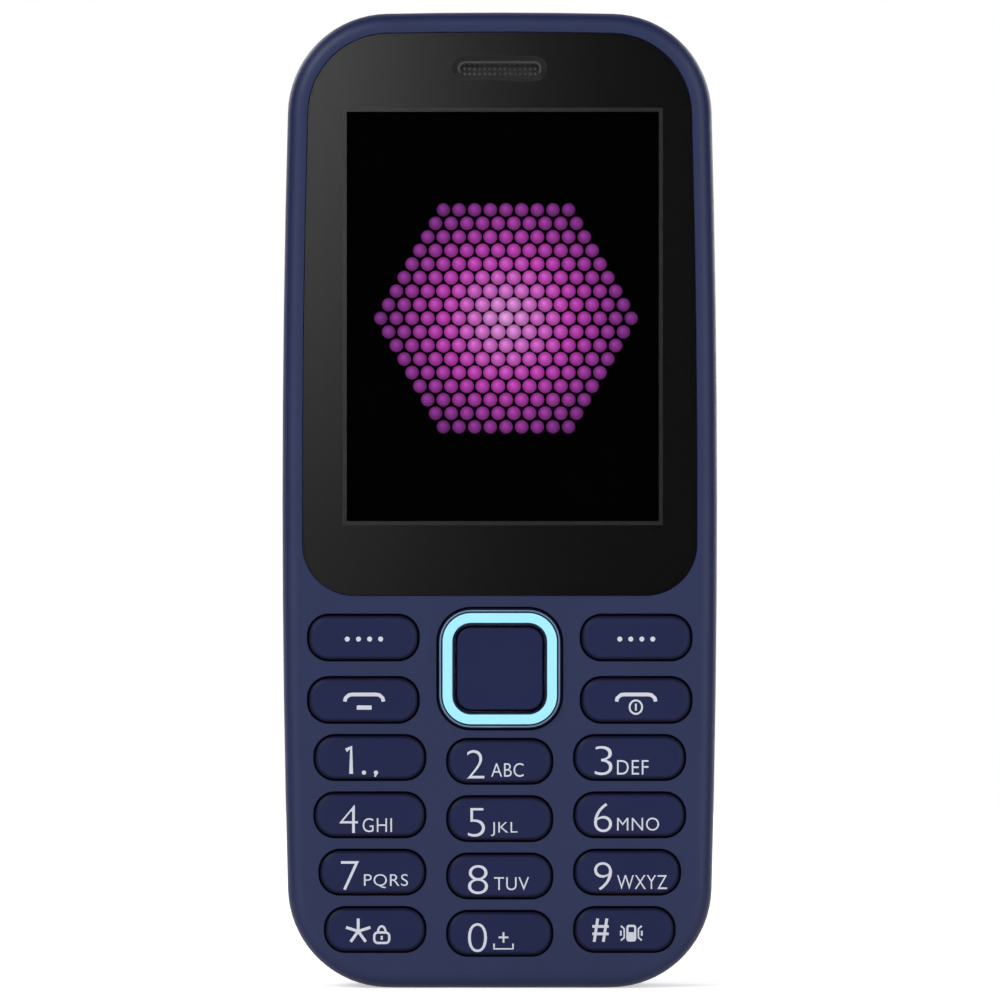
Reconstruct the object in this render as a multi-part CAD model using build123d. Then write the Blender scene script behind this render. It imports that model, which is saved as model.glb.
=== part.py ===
from build123d import *

import os
from math import radians, sin

# A bar-type feature phone: moulded front housing, clear display lens, rubber-backed keys,
# one circuit board, an inner rear housing with the battery bay, and a lift-off battery cover.
# The phone stands on its flat bottom end. +Z runs towards its top end, the keys face -Y and
# +X is to the right of someone looking at the keys. Depths are measured back from the face
# of the front housing. All sizes are millimetres.

# Fits and cutters
overrun = 1.0
stack_gap = 0.05
side_gap = 0.20
screw_gap = 0.03

# Display and its lens
view_width = 37.05
view_height = 48.60
view_offset = 0.36
view_side_room = 4.95
view_foot_room = 8.90
view_head_room = 9.50
lens_thickness = 0.80
lens_recess = 0.05
lens_gap = 0.10
lens_edge_bevel = 0.15
border_thickness = 0.10
border_inset = 0.40
window_corner_radius = 6.20
ledge_thickness = 0.65
ledge_margin = 0.60

# Outline of the body
rim_width = 2.35
side_bulge = 1.00
end_bulge = 0.50
foot_flat = 0.12
body_corner_radius = 12.0
front_edge_radius = 2.00
front_wall = 1.30
parting_bevel = 0.15

# Number keys and function keys
key_height = 5.10
key_corner_radius = 2.35
key_fit = 0.25
key_proud = 0.35
key_edge_radius = 0.50
key_travel = 0.30
key_flange_width = 0.40
key_flange_thickness = 0.45
middle_key_width = 12.25
upper_outer_key_width = 12.95
third_outer_key_width = 12.35
last_outer_key_width = 11.70
column_gap = 2.80
row_gap = 1.70
middle_column_drop = 0.45
chin = 4.45
function_key_width = 12.90
function_key_height = 5.20
function_row_gap = 2.20
function_gap = 1.68
window_foot_gap = 2.30

# Navigation ring and select key
nav_width = 14.65
nav_fit = 0.20
nav_foot_gap = 1.30
nav_head_gap = 1.45
nav_side_gap = 2.40
nav_corner_radius = 3.95
nav_proud = 0.50
nav_bevel = 0.50
band_inset = 0.55
band_width = 1.15
band_depth = 0.30
band_proud = 0.05
band_lip = 0.20
nav_flange_width = 0.35
nav_flange_thickness = 0.40
nav_rock_angle = 1.5
select_fit = 0.20
select_edge_radius = 0.40
select_proud = 0.30

# Rubber mat, dome sheet and domes
mat_web = 0.35
mat_rim_width = 0.90
mat_gap = 0.25
mat_head_margin = 0.55
nub_radius = 1.00
nub_gap = 0.05
dome_radius = 2.00
dome_metal = 0.08
dome_top_share = 0.45
dome_film = 0.10
dome_film_margin = 0.10
dome_hole_margin = 0.20
nav_dome_share = 0.78
nav_pad_inset = 0.15

# Display module
module_side_margin = 1.90
module_foot_margin = 6.40
module_head_margin = 2.20
panel_thickness = 0.85
backlight_thickness = 0.85
frame_sheet = 0.20
module_gap = 0.05
flex_width = 16.0
flex_thickness = 0.12
flex_landing = 1.10
flex_slope = 1.30
flex_root = 0.80
module_rib = 0.80
module_rib_length = 6.0

# Earpiece
slot_width = 10.10
slot_height = 1.85
slot_below_window = 3.45
slot_bevel = 0.20
mesh_margin = 0.60
mesh_thickness = 0.15
mesh_hole_radius = 0.16
mesh_hole_pitch = 0.60
receiver_width = 15.0
receiver_height = 5.6
receiver_corner_radius = 0.80
receiver_port_depth = 0.50

# Circuit board
board_thickness = 0.90
board_gap = 0.05
component_height = 1.45
chip_height = 0.90

# Screws and bosses
boss_radius = 1.50
screw_radius = 0.80
screw_head_radius = 1.40
screw_head_height = 0.90
screw_head_fit = 0.30
screw_slot_depth = 0.40
screw_slot_length = 1.20
screw_slot_width = 0.30
screw_seat_depth = 7.60
screw_bite = 0.45
middle_screw_side = 4.20
upper_screw_drop = 7.90
upper_screw_side = 6.60

# Rear housing and battery cover
cover_wall = 1.20
cover_fit = 0.20
cover_edge_radius = 3.80
cover_gap = 0.10
parting_depth = 4.40
housing_wall = 1.20
deck_thickness = 1.00
bay_floor = 0.80
bay_wall = 1.00
bay_screw_gap = 0.60
finger_notch_radius = 4.0
finger_notch_depth = 2.0
nail_notch_length = 7.0
nail_notch_radius = 0.90

# Battery
battery_width = 34.0
battery_height = 50.0
battery_thickness = 5.30
battery_corner_radius = 1.60
battery_gap = 0.20
battery_cap_height = 2.20
battery_groove_width = 0.20
battery_groove_depth = 0.08

# Battery connector
connector_width = 9.0
connector_length = 3.0
connector_height = 4.60
connector_left = 9.5
contact_count = 3
contact_pitch = 2.40
contact_width = 1.00
contact_metal = 0.25
contact_reach = 0.45
contact_height = 1.60

# Card holders in the bay floor
sim_width = 15.6
sim_length = 17.0
memory_width = 14.6
memory_length = 14.5
holder_sheet = 0.20
holder_floor = 0.45
card_slot_width_share = 0.86
holder_head_wall = 1.0
holder_window_radius = 0.60
holder_side_gap = 0.60
holder_row_gap = 3.0
holder_head_margin = 3.0
holder_window_margin = 0.40

# Shielded blocks on the board
shield_sheet = 0.20
shield_corner_radius = 0.80
bay_shield_width = 15.0
bay_shield_length = 19.0
upper_shield_width = 27.0
upper_shield_length = 12.5
upper_shield_rise = 5.20
shield_chip_share = 0.62

# Loudspeaker
speaker_width = 19.0
speaker_length = 13.0
speaker_thickness = 3.20
speaker_corner_radius = 1.50
speaker_rib = 0.80
speaker_right = 5.0
speaker_rise = 13.5
speaker_mouth_share = 0.66
grille_slot_count = 6
grille_slot_width = 0.90
grille_slot_pitch = 2.00
grille_slot_length = 8.0
speaker_mesh_thickness = 0.15
speaker_mesh_margin = 0.80

# Camera
camera_width = 7.0
camera_body_thickness = 2.60
camera_barrel_radius = 2.50
camera_lens_radius = 1.20
camera_lens_depth = 0.50
camera_left = 9.5
camera_drop = 18.0
camera_window_radius = 3.60
camera_window_thickness = 0.90
camera_window_recess = 0.10
camera_sight_radius = 2.60
camera_rib = 0.70
camera_flex_width = 4.0
camera_flex_tail = 5.0

# Headphone socket, torch, USB socket and microphone
plug_radius = 1.80
socket_barrel_radius = 2.50
socket_body_width = 6.40
socket_body_length = 11.0
socket_bore_length = 12.5
socket_nose_length = 2.4
socket_screw_gap = 0.825
socket_cover_gap = 0.15
socket_mouth_radius = 2.20
torch_lens_radius = 2.20
torch_flange_radius = 2.70
torch_flange_thickness = 0.60
torch_led_size = 3.00
torch_led_length = 2.20
torch_bulb_radius = 0.80
torch_mouth_radius = 2.30
usb_width = 7.50
usb_height = 2.55
usb_length = 5.40
usb_sheet = 0.30
usb_notch_gap = 0.25
usb_corner_radius = 0.60
usb_tongue_width = 3.60
usb_tongue_thickness = 0.60
usb_tongue_length = 4.00
usb_block_length = 1.00
microphone_width = 3.80
microphone_length = 2.60
microphone_thickness = 1.10
microphone_right = 10.6
microphone_boot_wall = 0.50
microphone_port_radius = 0.50
microphone_rise = 4.00

# Vibration motor
motor_radius = 2.00
motor_length = 7.50
motor_left = 17.5
motor_drop = 27.0
motor_shaft_radius = 0.40
motor_shaft_run = 3.60
motor_weight_radius = 1.75
motor_weight_length = 3.00
motor_weight_hub_radius = 0.80
motor_weight_gap = 0.30
motor_bracket_wall = 0.40

# Antenna on the rear housing
antenna_width = 33.0
antenna_length = 5.20
antenna_thickness = 0.10
antenna_rise = 4.20
antenna_slot = 0.90
antenna_slot_pitch = 4.20
antenna_slot_count = 6

# Depths, measured back from the face of the front housing
lens_back = lens_recess + lens_thickness
pocket_depth = lens_back + border_thickness
plate_thickness = pocket_depth + ledge_thickness
flange_front = plate_thickness + stack_gap
key_base = flange_front + key_flange_thickness
mat_back = key_base + mat_web
module_front = plate_thickness + module_gap
module_back = module_front + panel_thickness + backlight_thickness + frame_sheet + 2 * module_gap
board_front = module_back + board_gap
board_back = board_front + board_thickness
component_back = board_back + component_height
floor_front = component_back + 2 * stack_gap
floor_back = floor_front + bay_floor
battery_front = floor_back + 2 * stack_gap
battery_back = battery_front + battery_thickness
cover_inner = battery_back + 2 * stack_gap
back_depth = cover_inner + cover_wall
deck_back = cover_inner - cover_fit
deck_front = deck_back - deck_thickness
skirt_front = board_front
post_front = board_back + stack_gap
dome_height = key_travel - nub_gap
nub_tip = board_front - key_travel
film_front = board_front - dome_film
socket_depth = board_back + socket_barrel_radius
torch_depth = post_front + torch_flange_radius
motor_depth = board_back + motor_bracket_wall + motor_radius
usb_depth = post_front + usb_height / 2
microphone_depth = board_back + microphone_boot_wall + microphone_thickness / 2
speaker_front = deck_front - stack_gap - speaker_thickness
camera_front = deck_front - stack_gap - camera_body_thickness
face_y = (nav_proud + band_proud - back_depth) / 2

# Heights above the bottom end, and places across it
last_row_z = chin + key_height / 2
row_pitch = key_height + row_gap
first_row_z = last_row_z + 3 * row_pitch
call_row_z = first_row_z + key_height / 2 + function_gap + function_key_height / 2
soft_row_z = call_row_z + function_key_height + function_row_gap
window_foot_z = soft_row_z + function_key_height / 2 + window_foot_gap
view_foot_z = window_foot_z + view_foot_room
view_middle_z = view_foot_z + view_height / 2
window_head_z = view_foot_z + view_height + view_head_room
body_height = window_head_z + rim_width
body_width = view_width + 2 * (view_side_room + rim_width)
column_x = middle_key_width / 2 + column_gap
nav_foot_z = first_row_z - middle_column_drop + key_height / 2 + nav_foot_gap
nav_head_z = window_foot_z - nav_head_gap
nav_height = nav_head_z - nav_foot_z
nav_z = (nav_foot_z + nav_head_z) / 2
nav_swing = (nav_width + nav_height) / 2 * sin(radians(nav_rock_angle))
nav_flange_front = flange_front + nav_swing
nav_base = nav_flange_front + nav_flange_thickness
select_inset = band_inset + band_width + band_lip
function_x = nav_width / 2 + nav_side_gap
slot_z = window_head_z - slot_below_window - slot_height / 2
mat_head_z = soft_row_z + function_key_height / 2 + key_flange_width + mat_head_margin
module_width = view_width + 2 * module_side_margin
module_foot_z = view_foot_z - module_foot_margin
module_head_z = view_foot_z + view_height + module_head_margin
module_height = module_head_z - module_foot_z
module_z = (module_foot_z + module_head_z) / 2
lower_screw_x = (middle_key_width / 2 + column_x) / 2
lower_screw_z = last_row_z + row_pitch / 2 - middle_column_drop / 2
middle_screw_x = body_width / 2 - middle_screw_side
middle_screw_z = (mat_head_z + module_foot_z) / 2
upper_screw_x = body_width / 2 - upper_screw_side
upper_screw_z = body_height - upper_screw_drop
screw_places = [
    (side * x, z)
    for x, z in (
        (lower_screw_x, lower_screw_z),
        (middle_screw_x, middle_screw_z),
        (upper_screw_x, upper_screw_z),
    )
    for side in (-1, 1)
]
head_well_radius = screw_head_radius + screw_head_fit
bay_foot_z = lower_screw_z + head_well_radius + bay_screw_gap + bay_wall
battery_foot_z = bay_foot_z + battery_gap
battery_head_z = battery_foot_z + battery_height
battery_z = (battery_foot_z + battery_head_z) / 2
bay_head_z = battery_head_z + battery_gap
connector_z = battery_head_z + contact_reach + connector_length / 2
sim_z = battery_head_z - holder_head_margin - sim_length / 2
sim_x = sim_width / 2 + holder_side_gap
lower_holder_head_z = sim_z - sim_length / 2 - holder_row_gap
memory_z = lower_holder_head_z - memory_length / 2
bay_shield_z = lower_holder_head_z - bay_shield_length / 2
upper_shield_z = bay_head_z + upper_shield_rise + upper_shield_length / 2
speaker_z = bay_head_z + speaker_rise
camera_z = body_height - camera_drop
socket_right = upper_screw_x - head_well_radius - bay_wall - socket_screw_gap - socket_body_width / 2
inner_inset = cover_wall + cover_fit
board_inset = inner_inset + housing_wall + side_gap
inner_head_z = body_height - inner_inset
torch_flange_head_z = inner_head_z - housing_wall + side_gap
usb_block_z = inner_inset + usb_length - usb_block_length
motor_foot_z = body_height - motor_drop


def plan_box(x, z, width, height, radius=0.0):
    """A plan rectangle centred at (x, z), with round corners if a radius is given."""
    shape = RectangleRounded(width, height, radius) if radius else Rectangle(width, height)
    return Pos(x, z) * shape


def plan_circle(x, z, radius):
    """A plan circle."""
    return Pos(x, z) * Circle(radius)


def slab(plan, front, back):
    """The solid of a plan between two depths."""
    return extrude(Plane.XZ.offset(-(face_y + back)) * plan, amount=back - front)


def upright(plan, foot, head):
    """The solid of a level outline, drawn in x and depth, between two heights."""
    level = Plane((0, face_y, foot), x_dir=(1, 0, 0), z_dir=(0, 0, 1))
    return extrude(level * plan, amount=head - foot)


def side_on(outline, x, width):
    """The solid of an outline drawn in depth and height, centred on x."""
    side = Plane((x - width / 2, face_y, 0), x_dir=(0, 1, 0), z_dir=(1, 0, 0))
    return extrude(side * outline, amount=width)


def front_edges(solid):
    """The edges nearest the keys' side."""
    return solid.edges().group_by(Axis.Y)[0]


def back_edges(solid):
    """The edges farthest from the keys' side."""
    return solid.edges().group_by(Axis.Y)[-1]


def body_plan(inset=0.0):
    """The phone's barrel-shaped outline, moved inwards and cut flat where it stands."""
    reach_x = body_width / 2 - side_bulge
    reach_z = (body_height + foot_flat) / 2 - end_bulge
    side_x = body_width / 2 - inset
    end_z = (body_height + foot_flat) / 2 - inset
    x = side_x - side_bulge * (1 - inset / reach_z) ** 2
    z = end_z - end_bulge * (1 - inset / reach_x) ** 2
    arcs = [
        ThreePointArc((-x, -z), (0, -end_z), (x, -z)),
        ThreePointArc((x, -z), (side_x, 0), (x, z)),
        ThreePointArc((x, z), (0, end_z), (-x, z)),
        ThreePointArc((-x, z), (-side_x, 0), (-x, -z)),
    ]
    plan = make_face(arcs)
    plan = fillet(plan.vertices(), body_corner_radius - inset)
    plan = Pos(0, (body_height - foot_flat) / 2) * plan
    return plan & plan_box(0, inset + body_height / 2, body_width, body_height)


def window_plan(inset=0.0):
    """The lens's outline: parallel to the body above, straight with round corners below."""
    foot = window_foot_z + inset
    plan = body_plan(rim_width + inset)
    middle = (foot + body_height) / 2
    plan &= plan_box(0, middle, body_width, body_height - foot)
    corners = plan.vertices().group_by(Axis.Y)[0]
    return fillet(corners, window_corner_radius - inset)


def slot_plan(margin=0.0):
    """The earpiece slot, grown by a margin."""
    height = slot_height + 2 * margin
    return Pos(0, slot_z) * SlotOverall(slot_width + 2 * margin, height)


def view_plan(margin=0.0):
    """The visible display area, grown by a margin."""
    return plan_box(view_offset, view_middle_z, view_width + 2 * margin, view_height + 2 * margin)


def make_key_places():
    """Each key's centre, width and height, by node name."""
    places = {}
    outer_widths = (
        upper_outer_key_width,
        upper_outer_key_width,
        third_outer_key_width,
        last_outer_key_width,
    )
    names = (
        ("key_1", "key_2", "key_3"),
        ("key_4", "key_5", "key_6"),
        ("key_7", "key_8", "key_9"),
        ("key_star", "key_0", "key_hash"),
    )
    for row, (left, middle, right) in enumerate(names):
        z = first_row_z - row * row_pitch
        width = outer_widths[row]
        x = column_x + width / 2
        places[left] = (-x, z, width, key_height)
        places[middle] = (0, z - middle_column_drop, middle_key_width, key_height)
        places[right] = (x, z, width, key_height)
    x = function_x + function_key_width / 2
    for name, side, z in (
        ("key_soft_left", -1, soft_row_z),
        ("key_soft_right", 1, soft_row_z),
        ("key_call", -1, call_row_z),
        ("key_end", 1, call_row_z),
    ):
        places[name] = (side * x, z, function_key_width, function_key_height)
    return places


key_places = make_key_places()


def key_plan(place, margin=0.0):
    """A key's outline grown by a margin."""
    x, z, width, height = place
    radius = key_corner_radius + margin
    return plan_box(x, z, width + 2 * margin, height + 2 * margin, radius)


def nav_plan(inset=0.0):
    """The navigation ring's outer outline moved inwards."""
    radius = nav_corner_radius - inset
    return plan_box(0, nav_z, nav_width - 2 * inset, nav_height - 2 * inset, radius)


def nav_dome_places():
    """The domes under the navigation ring, one each way from its centre."""
    reach_x = nav_width / 2 * nav_dome_share
    reach_z = nav_height / 2 * nav_dome_share
    return [(-reach_x, nav_z), (reach_x, nav_z), (0, nav_z - reach_z), (0, nav_z + reach_z)]


def dome_places():
    """Every dome on the board."""
    under_keys = [(x, z) for x, z, _, _ in key_places.values()]
    return under_keys + nav_dome_places() + [(0, nav_z)]


def make_front_housing():
    """The moulded front: rim, key plate, lens pocket, bosses and display ribs."""
    shell = slab(body_plan(), 0, parting_depth)
    shell = chamfer(back_edges(shell), parting_bevel)
    shell = fillet(front_edges(shell), front_edge_radius)
    shell -= slab(body_plan(front_wall), plate_thickness, parting_depth + overrun)
    inside = slab(body_plan(front_wall), plate_thickness, board_front)
    for x, z in screw_places:
        shell += slab(plan_circle(x, z, boss_radius), plate_thickness, board_front - stack_gap)
    rib_x = module_width / 2 + side_gap + module_rib / 2
    rib_z = module_foot_z + module_rib_length
    for side in (-1, 1):
        for z in (rib_z, module_head_z - module_rib_length):
            rib = plan_box(view_offset + side * rib_x, z, module_rib, module_rib_length)
            shell += slab(rib, plate_thickness, board_front - stack_gap) & inside
    shell -= slab(window_plan(), -overrun, pocket_depth)
    shell -= slab(view_plan(ledge_margin), 0, plate_thickness + overrun)
    shell -= slab(slot_plan(mesh_margin + side_gap), 0, pocket_depth + mesh_thickness)
    shell -= slab(slot_plan(), 0, plate_thickness + overrun)
    for place in key_places.values():
        shell -= slab(key_plan(place, key_fit), -overrun, plate_thickness + overrun)
    shell -= slab(nav_plan(-nav_fit), -overrun, plate_thickness + overrun)
    pilot = screw_radius + screw_gap
    for x, z in screw_places:
        pilot_front = plate_thickness - screw_bite
        shell -= slab(plan_circle(x, z, pilot), pilot_front, board_front + overrun)
    return shell


def usb_notch():
    """The cutter for the USB socket's mouth in the bottom end."""
    width = usb_width + 2 * usb_notch_gap
    height = usb_height + 2 * usb_notch_gap
    plan = Pos(0, usb_depth) * RectangleRounded(width, height, usb_corner_radius + usb_notch_gap)
    return upright(plan, -overrun, usb_length)


def make_display_lens():
    """The clear lens with the earpiece slot."""
    lens = slab(window_plan(lens_gap), lens_recess, lens_back)
    lens = chamfer(front_edges(lens), lens_edge_bevel)
    lens -= slab(slot_plan(), -overrun, lens_back + overrun)
    face = lens.faces().sort_by(Axis.Y)[0]
    return chamfer(face.inner_wires()[0].edges(), slot_bevel)


def make_lens_border():
    """The black printed and adhesive border behind the lens."""
    border = slab(window_plan(border_inset), lens_back, pocket_depth)
    border -= slab(view_plan(), lens_back - overrun, pocket_depth + overrun)
    return border - slab(slot_plan(mesh_margin), lens_back - overrun, pocket_depth + overrun)


def make_earpiece_mesh():
    """The dust mesh across the earpiece slot, with its rows of holes."""
    mesh = slab(slot_plan(mesh_margin), pocket_depth - stack_gap, pocket_depth + mesh_thickness)
    columns = int(slot_width / 2 / mesh_hole_pitch) - 1
    holes = [
        plan_circle(column * mesh_hole_pitch, slot_z + row * mesh_hole_pitch, mesh_hole_radius)
        for column in range(-columns, columns + 1)
        for row in (-1, 0, 1)
    ]
    return mesh - slab(Sketch() + holes, 0, pocket_depth + overrun)


def make_earpiece_receiver():
    """The earpiece's flat receiver, with its sound port."""
    plan = plan_box(0, slot_z, receiver_width, receiver_height, receiver_corner_radius)
    body = slab(plan, plate_thickness + stack_gap, board_front - stack_gap)
    return body - slab(slot_plan(), 0, plate_thickness + stack_gap + receiver_port_depth)


def make_key(place):
    """A keycap with soft front edges and the flange that keeps it in the plate."""
    cap = slab(key_plan(place), -key_proud, key_base)
    cap = fillet(front_edges(cap), key_edge_radius)
    return cap + slab(key_plan(place, key_flange_width), flange_front, key_base)


def make_select_key():
    """The select key in the middle of the navigation ring."""
    plan = nav_plan(select_inset + select_fit)
    cap = slab(plan, -select_proud, nav_base)
    return fillet(front_edges(cap), select_edge_radius)


def make_nav_ring():
    """The rocking navigation ring, bevelled outside and grooved for its band."""
    ring = slab(nav_plan(), -nav_proud, nav_base)
    ring = chamfer(front_edges(ring), nav_bevel)
    ring += slab(nav_plan(-nav_flange_width), nav_flange_front, nav_base)
    ring -= slab(nav_plan(select_inset), -nav_proud - overrun, nav_base + overrun)
    return ring - slab(band_plan(), -nav_proud - overrun, band_depth - nav_proud)


def band_plan():
    """The coloured band's outline."""
    return nav_plan(band_inset) - nav_plan(band_inset + band_width)


def make_nav_band():
    """The coloured band laid in the navigation ring."""
    band = slab(band_plan(), -nav_proud - band_proud, band_depth - nav_proud)
    return fillet(front_edges(band), band_proud)


def make_nav_pad():
    """The silicone pad under the ring and select key, with five nubs."""
    plan = nav_plan(nav_pad_inset)
    pad = slab(plan, nav_base, nav_base + mat_web)
    for x, z in nav_dome_places() + [(0, nav_z)]:
        pad += slab(plan_circle(x, z, nub_radius), nav_base, nub_tip)
    return pad


def mat_plan(inset=0.0):
    """The keypad mat's outline moved inwards, with room for the lower bosses."""
    head = mat_head_z - inset
    plan = body_plan(board_inset + mat_gap + inset)
    plan &= plan_box(0, head / 2, body_width, head)
    for x, z in screw_places:
        plan -= plan_circle(x, z, boss_radius + mat_gap + inset)
    return plan


def make_keypad_mat():
    """The silicone mat: web, rim and a nub behind every key."""
    mat = slab(mat_plan(), key_base, mat_back)
    mat += slab(mat_plan() - mat_plan(mat_rim_width), key_base, film_front)
    for x, z, _, _ in key_places.values():
        mat += slab(plan_circle(x, z, nub_radius), key_base, nub_tip)
    return mat - slab(nav_plan(-nav_flange_width - mat_gap), 0, board_front)


def make_dome_sheet():
    """The adhesive film that holds the domes on the board."""
    sheet = slab(mat_plan(-dome_film_margin), film_front, board_front)
    hole = dome_radius + dome_hole_margin
    holes = [plan_circle(x, z, hole) for x, z in dome_places()]
    return sheet - slab(Sketch() + holes, film_front - overrun, board_front + overrun)


def make_metal_domes():
    """The snap domes, flat-topped cones of thin metal, one under each nub."""
    top_radius = dome_radius * dome_top_share
    crown = dome_height - dome_metal
    section = Polyline(
        (0, -dome_height),
        (top_radius, -dome_height),
        (dome_radius, -dome_metal),
        (dome_radius, 0),
        (top_radius, -crown),
        (0, -crown),
        close=True,
    )
    dome = revolve(make_face(section), axis=Axis.Y)
    return [Pos(x, face_y + board_front, z) * dome for x, z in dome_places()]


def make_lcd_panel():
    """The liquid-crystal glass."""
    width = module_width - 2 * (frame_sheet + module_gap)
    height = module_height - 2 * (frame_sheet + module_gap)
    plan = plan_box(view_offset, module_z, width, height)
    return slab(plan, module_front, module_front + panel_thickness)


def make_backlight():
    """The light guide behind the glass."""
    width = module_width - 2 * (frame_sheet + module_gap)
    height = module_height - 2 * (frame_sheet + module_gap)
    front = module_front + panel_thickness + module_gap
    return slab(plan_box(view_offset, module_z, width, height), front, front + backlight_thickness)


def make_lcd_frame():
    """The stamped tray round the display, open where the flex leaves."""
    outer = plan_box(view_offset, module_z, module_width, module_height)
    inner = plan_box(
        view_offset, module_z, module_width - 2 * frame_sheet, module_height - 2 * frame_sheet
    )
    tray = slab(outer, module_front + frame_sheet, module_back)
    tray -= slab(inner, 0, module_back - frame_sheet)
    notch = plan_box(view_offset, module_foot_z, flex_width + 2 * side_gap, 2 * frame_sheet)
    return tray - slab(notch, 0, module_back - frame_sheet)


def make_lcd_flex():
    """The display's flex tail, bent down to its landing on the board."""
    front = module_front + panel_thickness + module_gap - flex_thickness
    root = module_foot_z + frame_sheet + module_gap
    knee = root - flex_root
    toe = knee - flex_slope
    end = toe - flex_landing
    board = board_front - stack_gap - flex_thickness
    upper = [(front, root), (front, knee), (board, toe), (board, end)]
    lower = [(d + flex_thickness, z) for d, z in reversed(upper)]
    outline = make_face(Polyline(upper + lower, close=True))
    return side_on(outline, view_offset, flex_width)


def make_main_board():
    """The circuit board, drilled or notched for the screws."""
    board = slab(body_plan(board_inset), board_front, board_back)
    hole = screw_radius + side_gap
    for x, z in screw_places:
        board -= slab(plan_circle(x, z, hole), board_front - overrun, board_back + overrun)
    return board


def make_rear_housing():
    """The inner housing: skirt, deck, battery bay, screw wells and pockets."""
    edge_radius = cover_edge_radius - inner_inset
    outer = slab(body_plan(inner_inset), skirt_front, deck_back)
    outer = fillet(back_edges(outer), edge_radius)
    hollow = slab(body_plan(inner_inset + housing_wall), skirt_front - overrun, deck_front)
    hollow = chamfer(back_edges(hollow), edge_radius - deck_thickness)
    for x, z in screw_places:
        post = plan_circle(x, z, head_well_radius + bay_wall)
        hollow -= slab(post, post_front, deck_back)
    shell = outer - hollow
    bay_width = battery_width + 2 * battery_gap
    bay_height = bay_head_z - bay_foot_z
    tub = plan_box(0, battery_z, bay_width + 2 * bay_wall, bay_height + 2 * bay_wall)
    shell += slab(tub, floor_front, deck_back)
    scoop = plan_circle(0, bay_foot_z, finger_notch_radius + bay_wall)
    shell += slab(scoop, deck_back - finger_notch_depth - bay_wall, deck_back)
    shell += slab(speaker_plan(side_gap + speaker_rib), speaker_front, deck_front)
    shell += slab(camera_plan(side_gap + camera_rib), camera_front, deck_front)
    shell -= slab(plan_box(0, battery_z, bay_width, bay_height), floor_back, back_depth)
    shell -= slab(speaker_plan(side_gap), speaker_front - overrun, deck_front)
    shell -= slab(mouth_plan(), deck_front - overrun, back_depth)
    shell -= slab(camera_plan(side_gap), camera_front - overrun, deck_front)
    barrel = plan_circle(-camera_left, camera_z, camera_barrel_radius + side_gap)
    shell -= slab(barrel, deck_front - overrun, back_depth)
    for x, z in screw_places:
        hole = plan_circle(x, z, screw_radius + side_gap)
        shell -= slab(hole, post_front - overrun, back_depth)
        shell -= slab(plan_circle(x, z, head_well_radius), screw_seat_depth, back_depth)
    for plan in holder_windows():
        shell -= slab(plan, floor_front - overrun, floor_back + overrun)
    shell -= connector_clearance()
    shell -= end_cutters()
    notch = plan_circle(0, bay_foot_z, finger_notch_radius)
    return shell - slab(notch, deck_back - finger_notch_depth, back_depth)


def holder_windows():
    """The openings in the bay floor over the card holders."""
    margin = 2 * holder_window_margin
    return [
        plan_box(-sim_x, sim_z, sim_width - margin, sim_length - margin),
        plan_box(sim_x, sim_z, sim_width - margin, sim_length - margin),
        plan_box(-sim_x, memory_z, memory_width - margin, memory_length - margin),
    ]


def connector_clearance():
    """Room in the bay's head wall for the battery connector and its contacts."""
    reach = contact_reach + connector_length + bay_wall + side_gap
    plan = plan_box(
        -connector_left,
        battery_head_z + reach / 2,
        connector_width + 2 * side_gap,
        reach,
    )
    return slab(plan, board_back - overrun, board_back + connector_height + side_gap)


def end_slot(x, depth, width, foot, head):
    """A slot through an end wall, from its front edge back to a depth."""
    start = skirt_front - overrun
    plan = Pos(x, (start + depth) / 2) * Rectangle(width, depth - start)
    return upright(plan, foot, head)


def end_hole(x, depth, radius, foot, head):
    """A hole through an end wall, open to its front edge."""
    hole = upright(Pos(x, depth) * Circle(radius), foot, head)
    return hole + end_slot(x, depth, 2 * radius, foot, head)


def end_cutters():
    """The openings in the ends of the rear housing for the sockets and the torch."""
    foot = inner_head_z - housing_wall - overrun
    flange_radius = torch_flange_radius + side_gap
    flange_head = torch_flange_head_z + stack_gap
    usb_room = usb_width + 2 * usb_notch_gap
    port = Pos(microphone_right, microphone_depth) * Circle(microphone_port_radius)
    cutters = end_hole(socket_right, socket_depth, socket_barrel_radius + side_gap, foot, body_height)
    cutters += end_hole(0, torch_depth, torch_lens_radius + stack_gap, foot, body_height)
    cutters += end_hole(0, torch_depth, flange_radius, foot, flange_head)
    cutters += end_slot(0, usb_depth, usb_room, 0, usb_length)
    cutters += upright(port, 0, microphone_rise)
    return cutters + usb_notch()


def speaker_plan(margin=0.0):
    """The loudspeaker's outline grown by a margin."""
    width = speaker_width + 2 * margin
    length = speaker_length + 2 * margin
    return plan_box(speaker_right, speaker_z, width, length, speaker_corner_radius + margin)


def mouth_plan():
    """The opening in the deck in front of the loudspeaker."""
    width = speaker_width * speaker_mouth_share
    length = speaker_length * speaker_mouth_share
    return plan_box(speaker_right, speaker_z, width, length, speaker_corner_radius)


def camera_plan(margin=0.0):
    """The camera body's outline grown by a margin."""
    width = camera_width + 2 * margin
    return plan_box(-camera_left, camera_z, width, width)


def grille_plan():
    """The row of slots in the cover behind the loudspeaker."""
    middle = (grille_slot_count - 1) / 2
    slots = [
        Pos(speaker_right + (n - middle) * grille_slot_pitch, speaker_z)
        * Rot(0, 0, 90)
        * SlotOverall(grille_slot_length, grille_slot_width)
        for n in range(grille_slot_count)
    ]
    return Sketch() + slots


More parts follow.
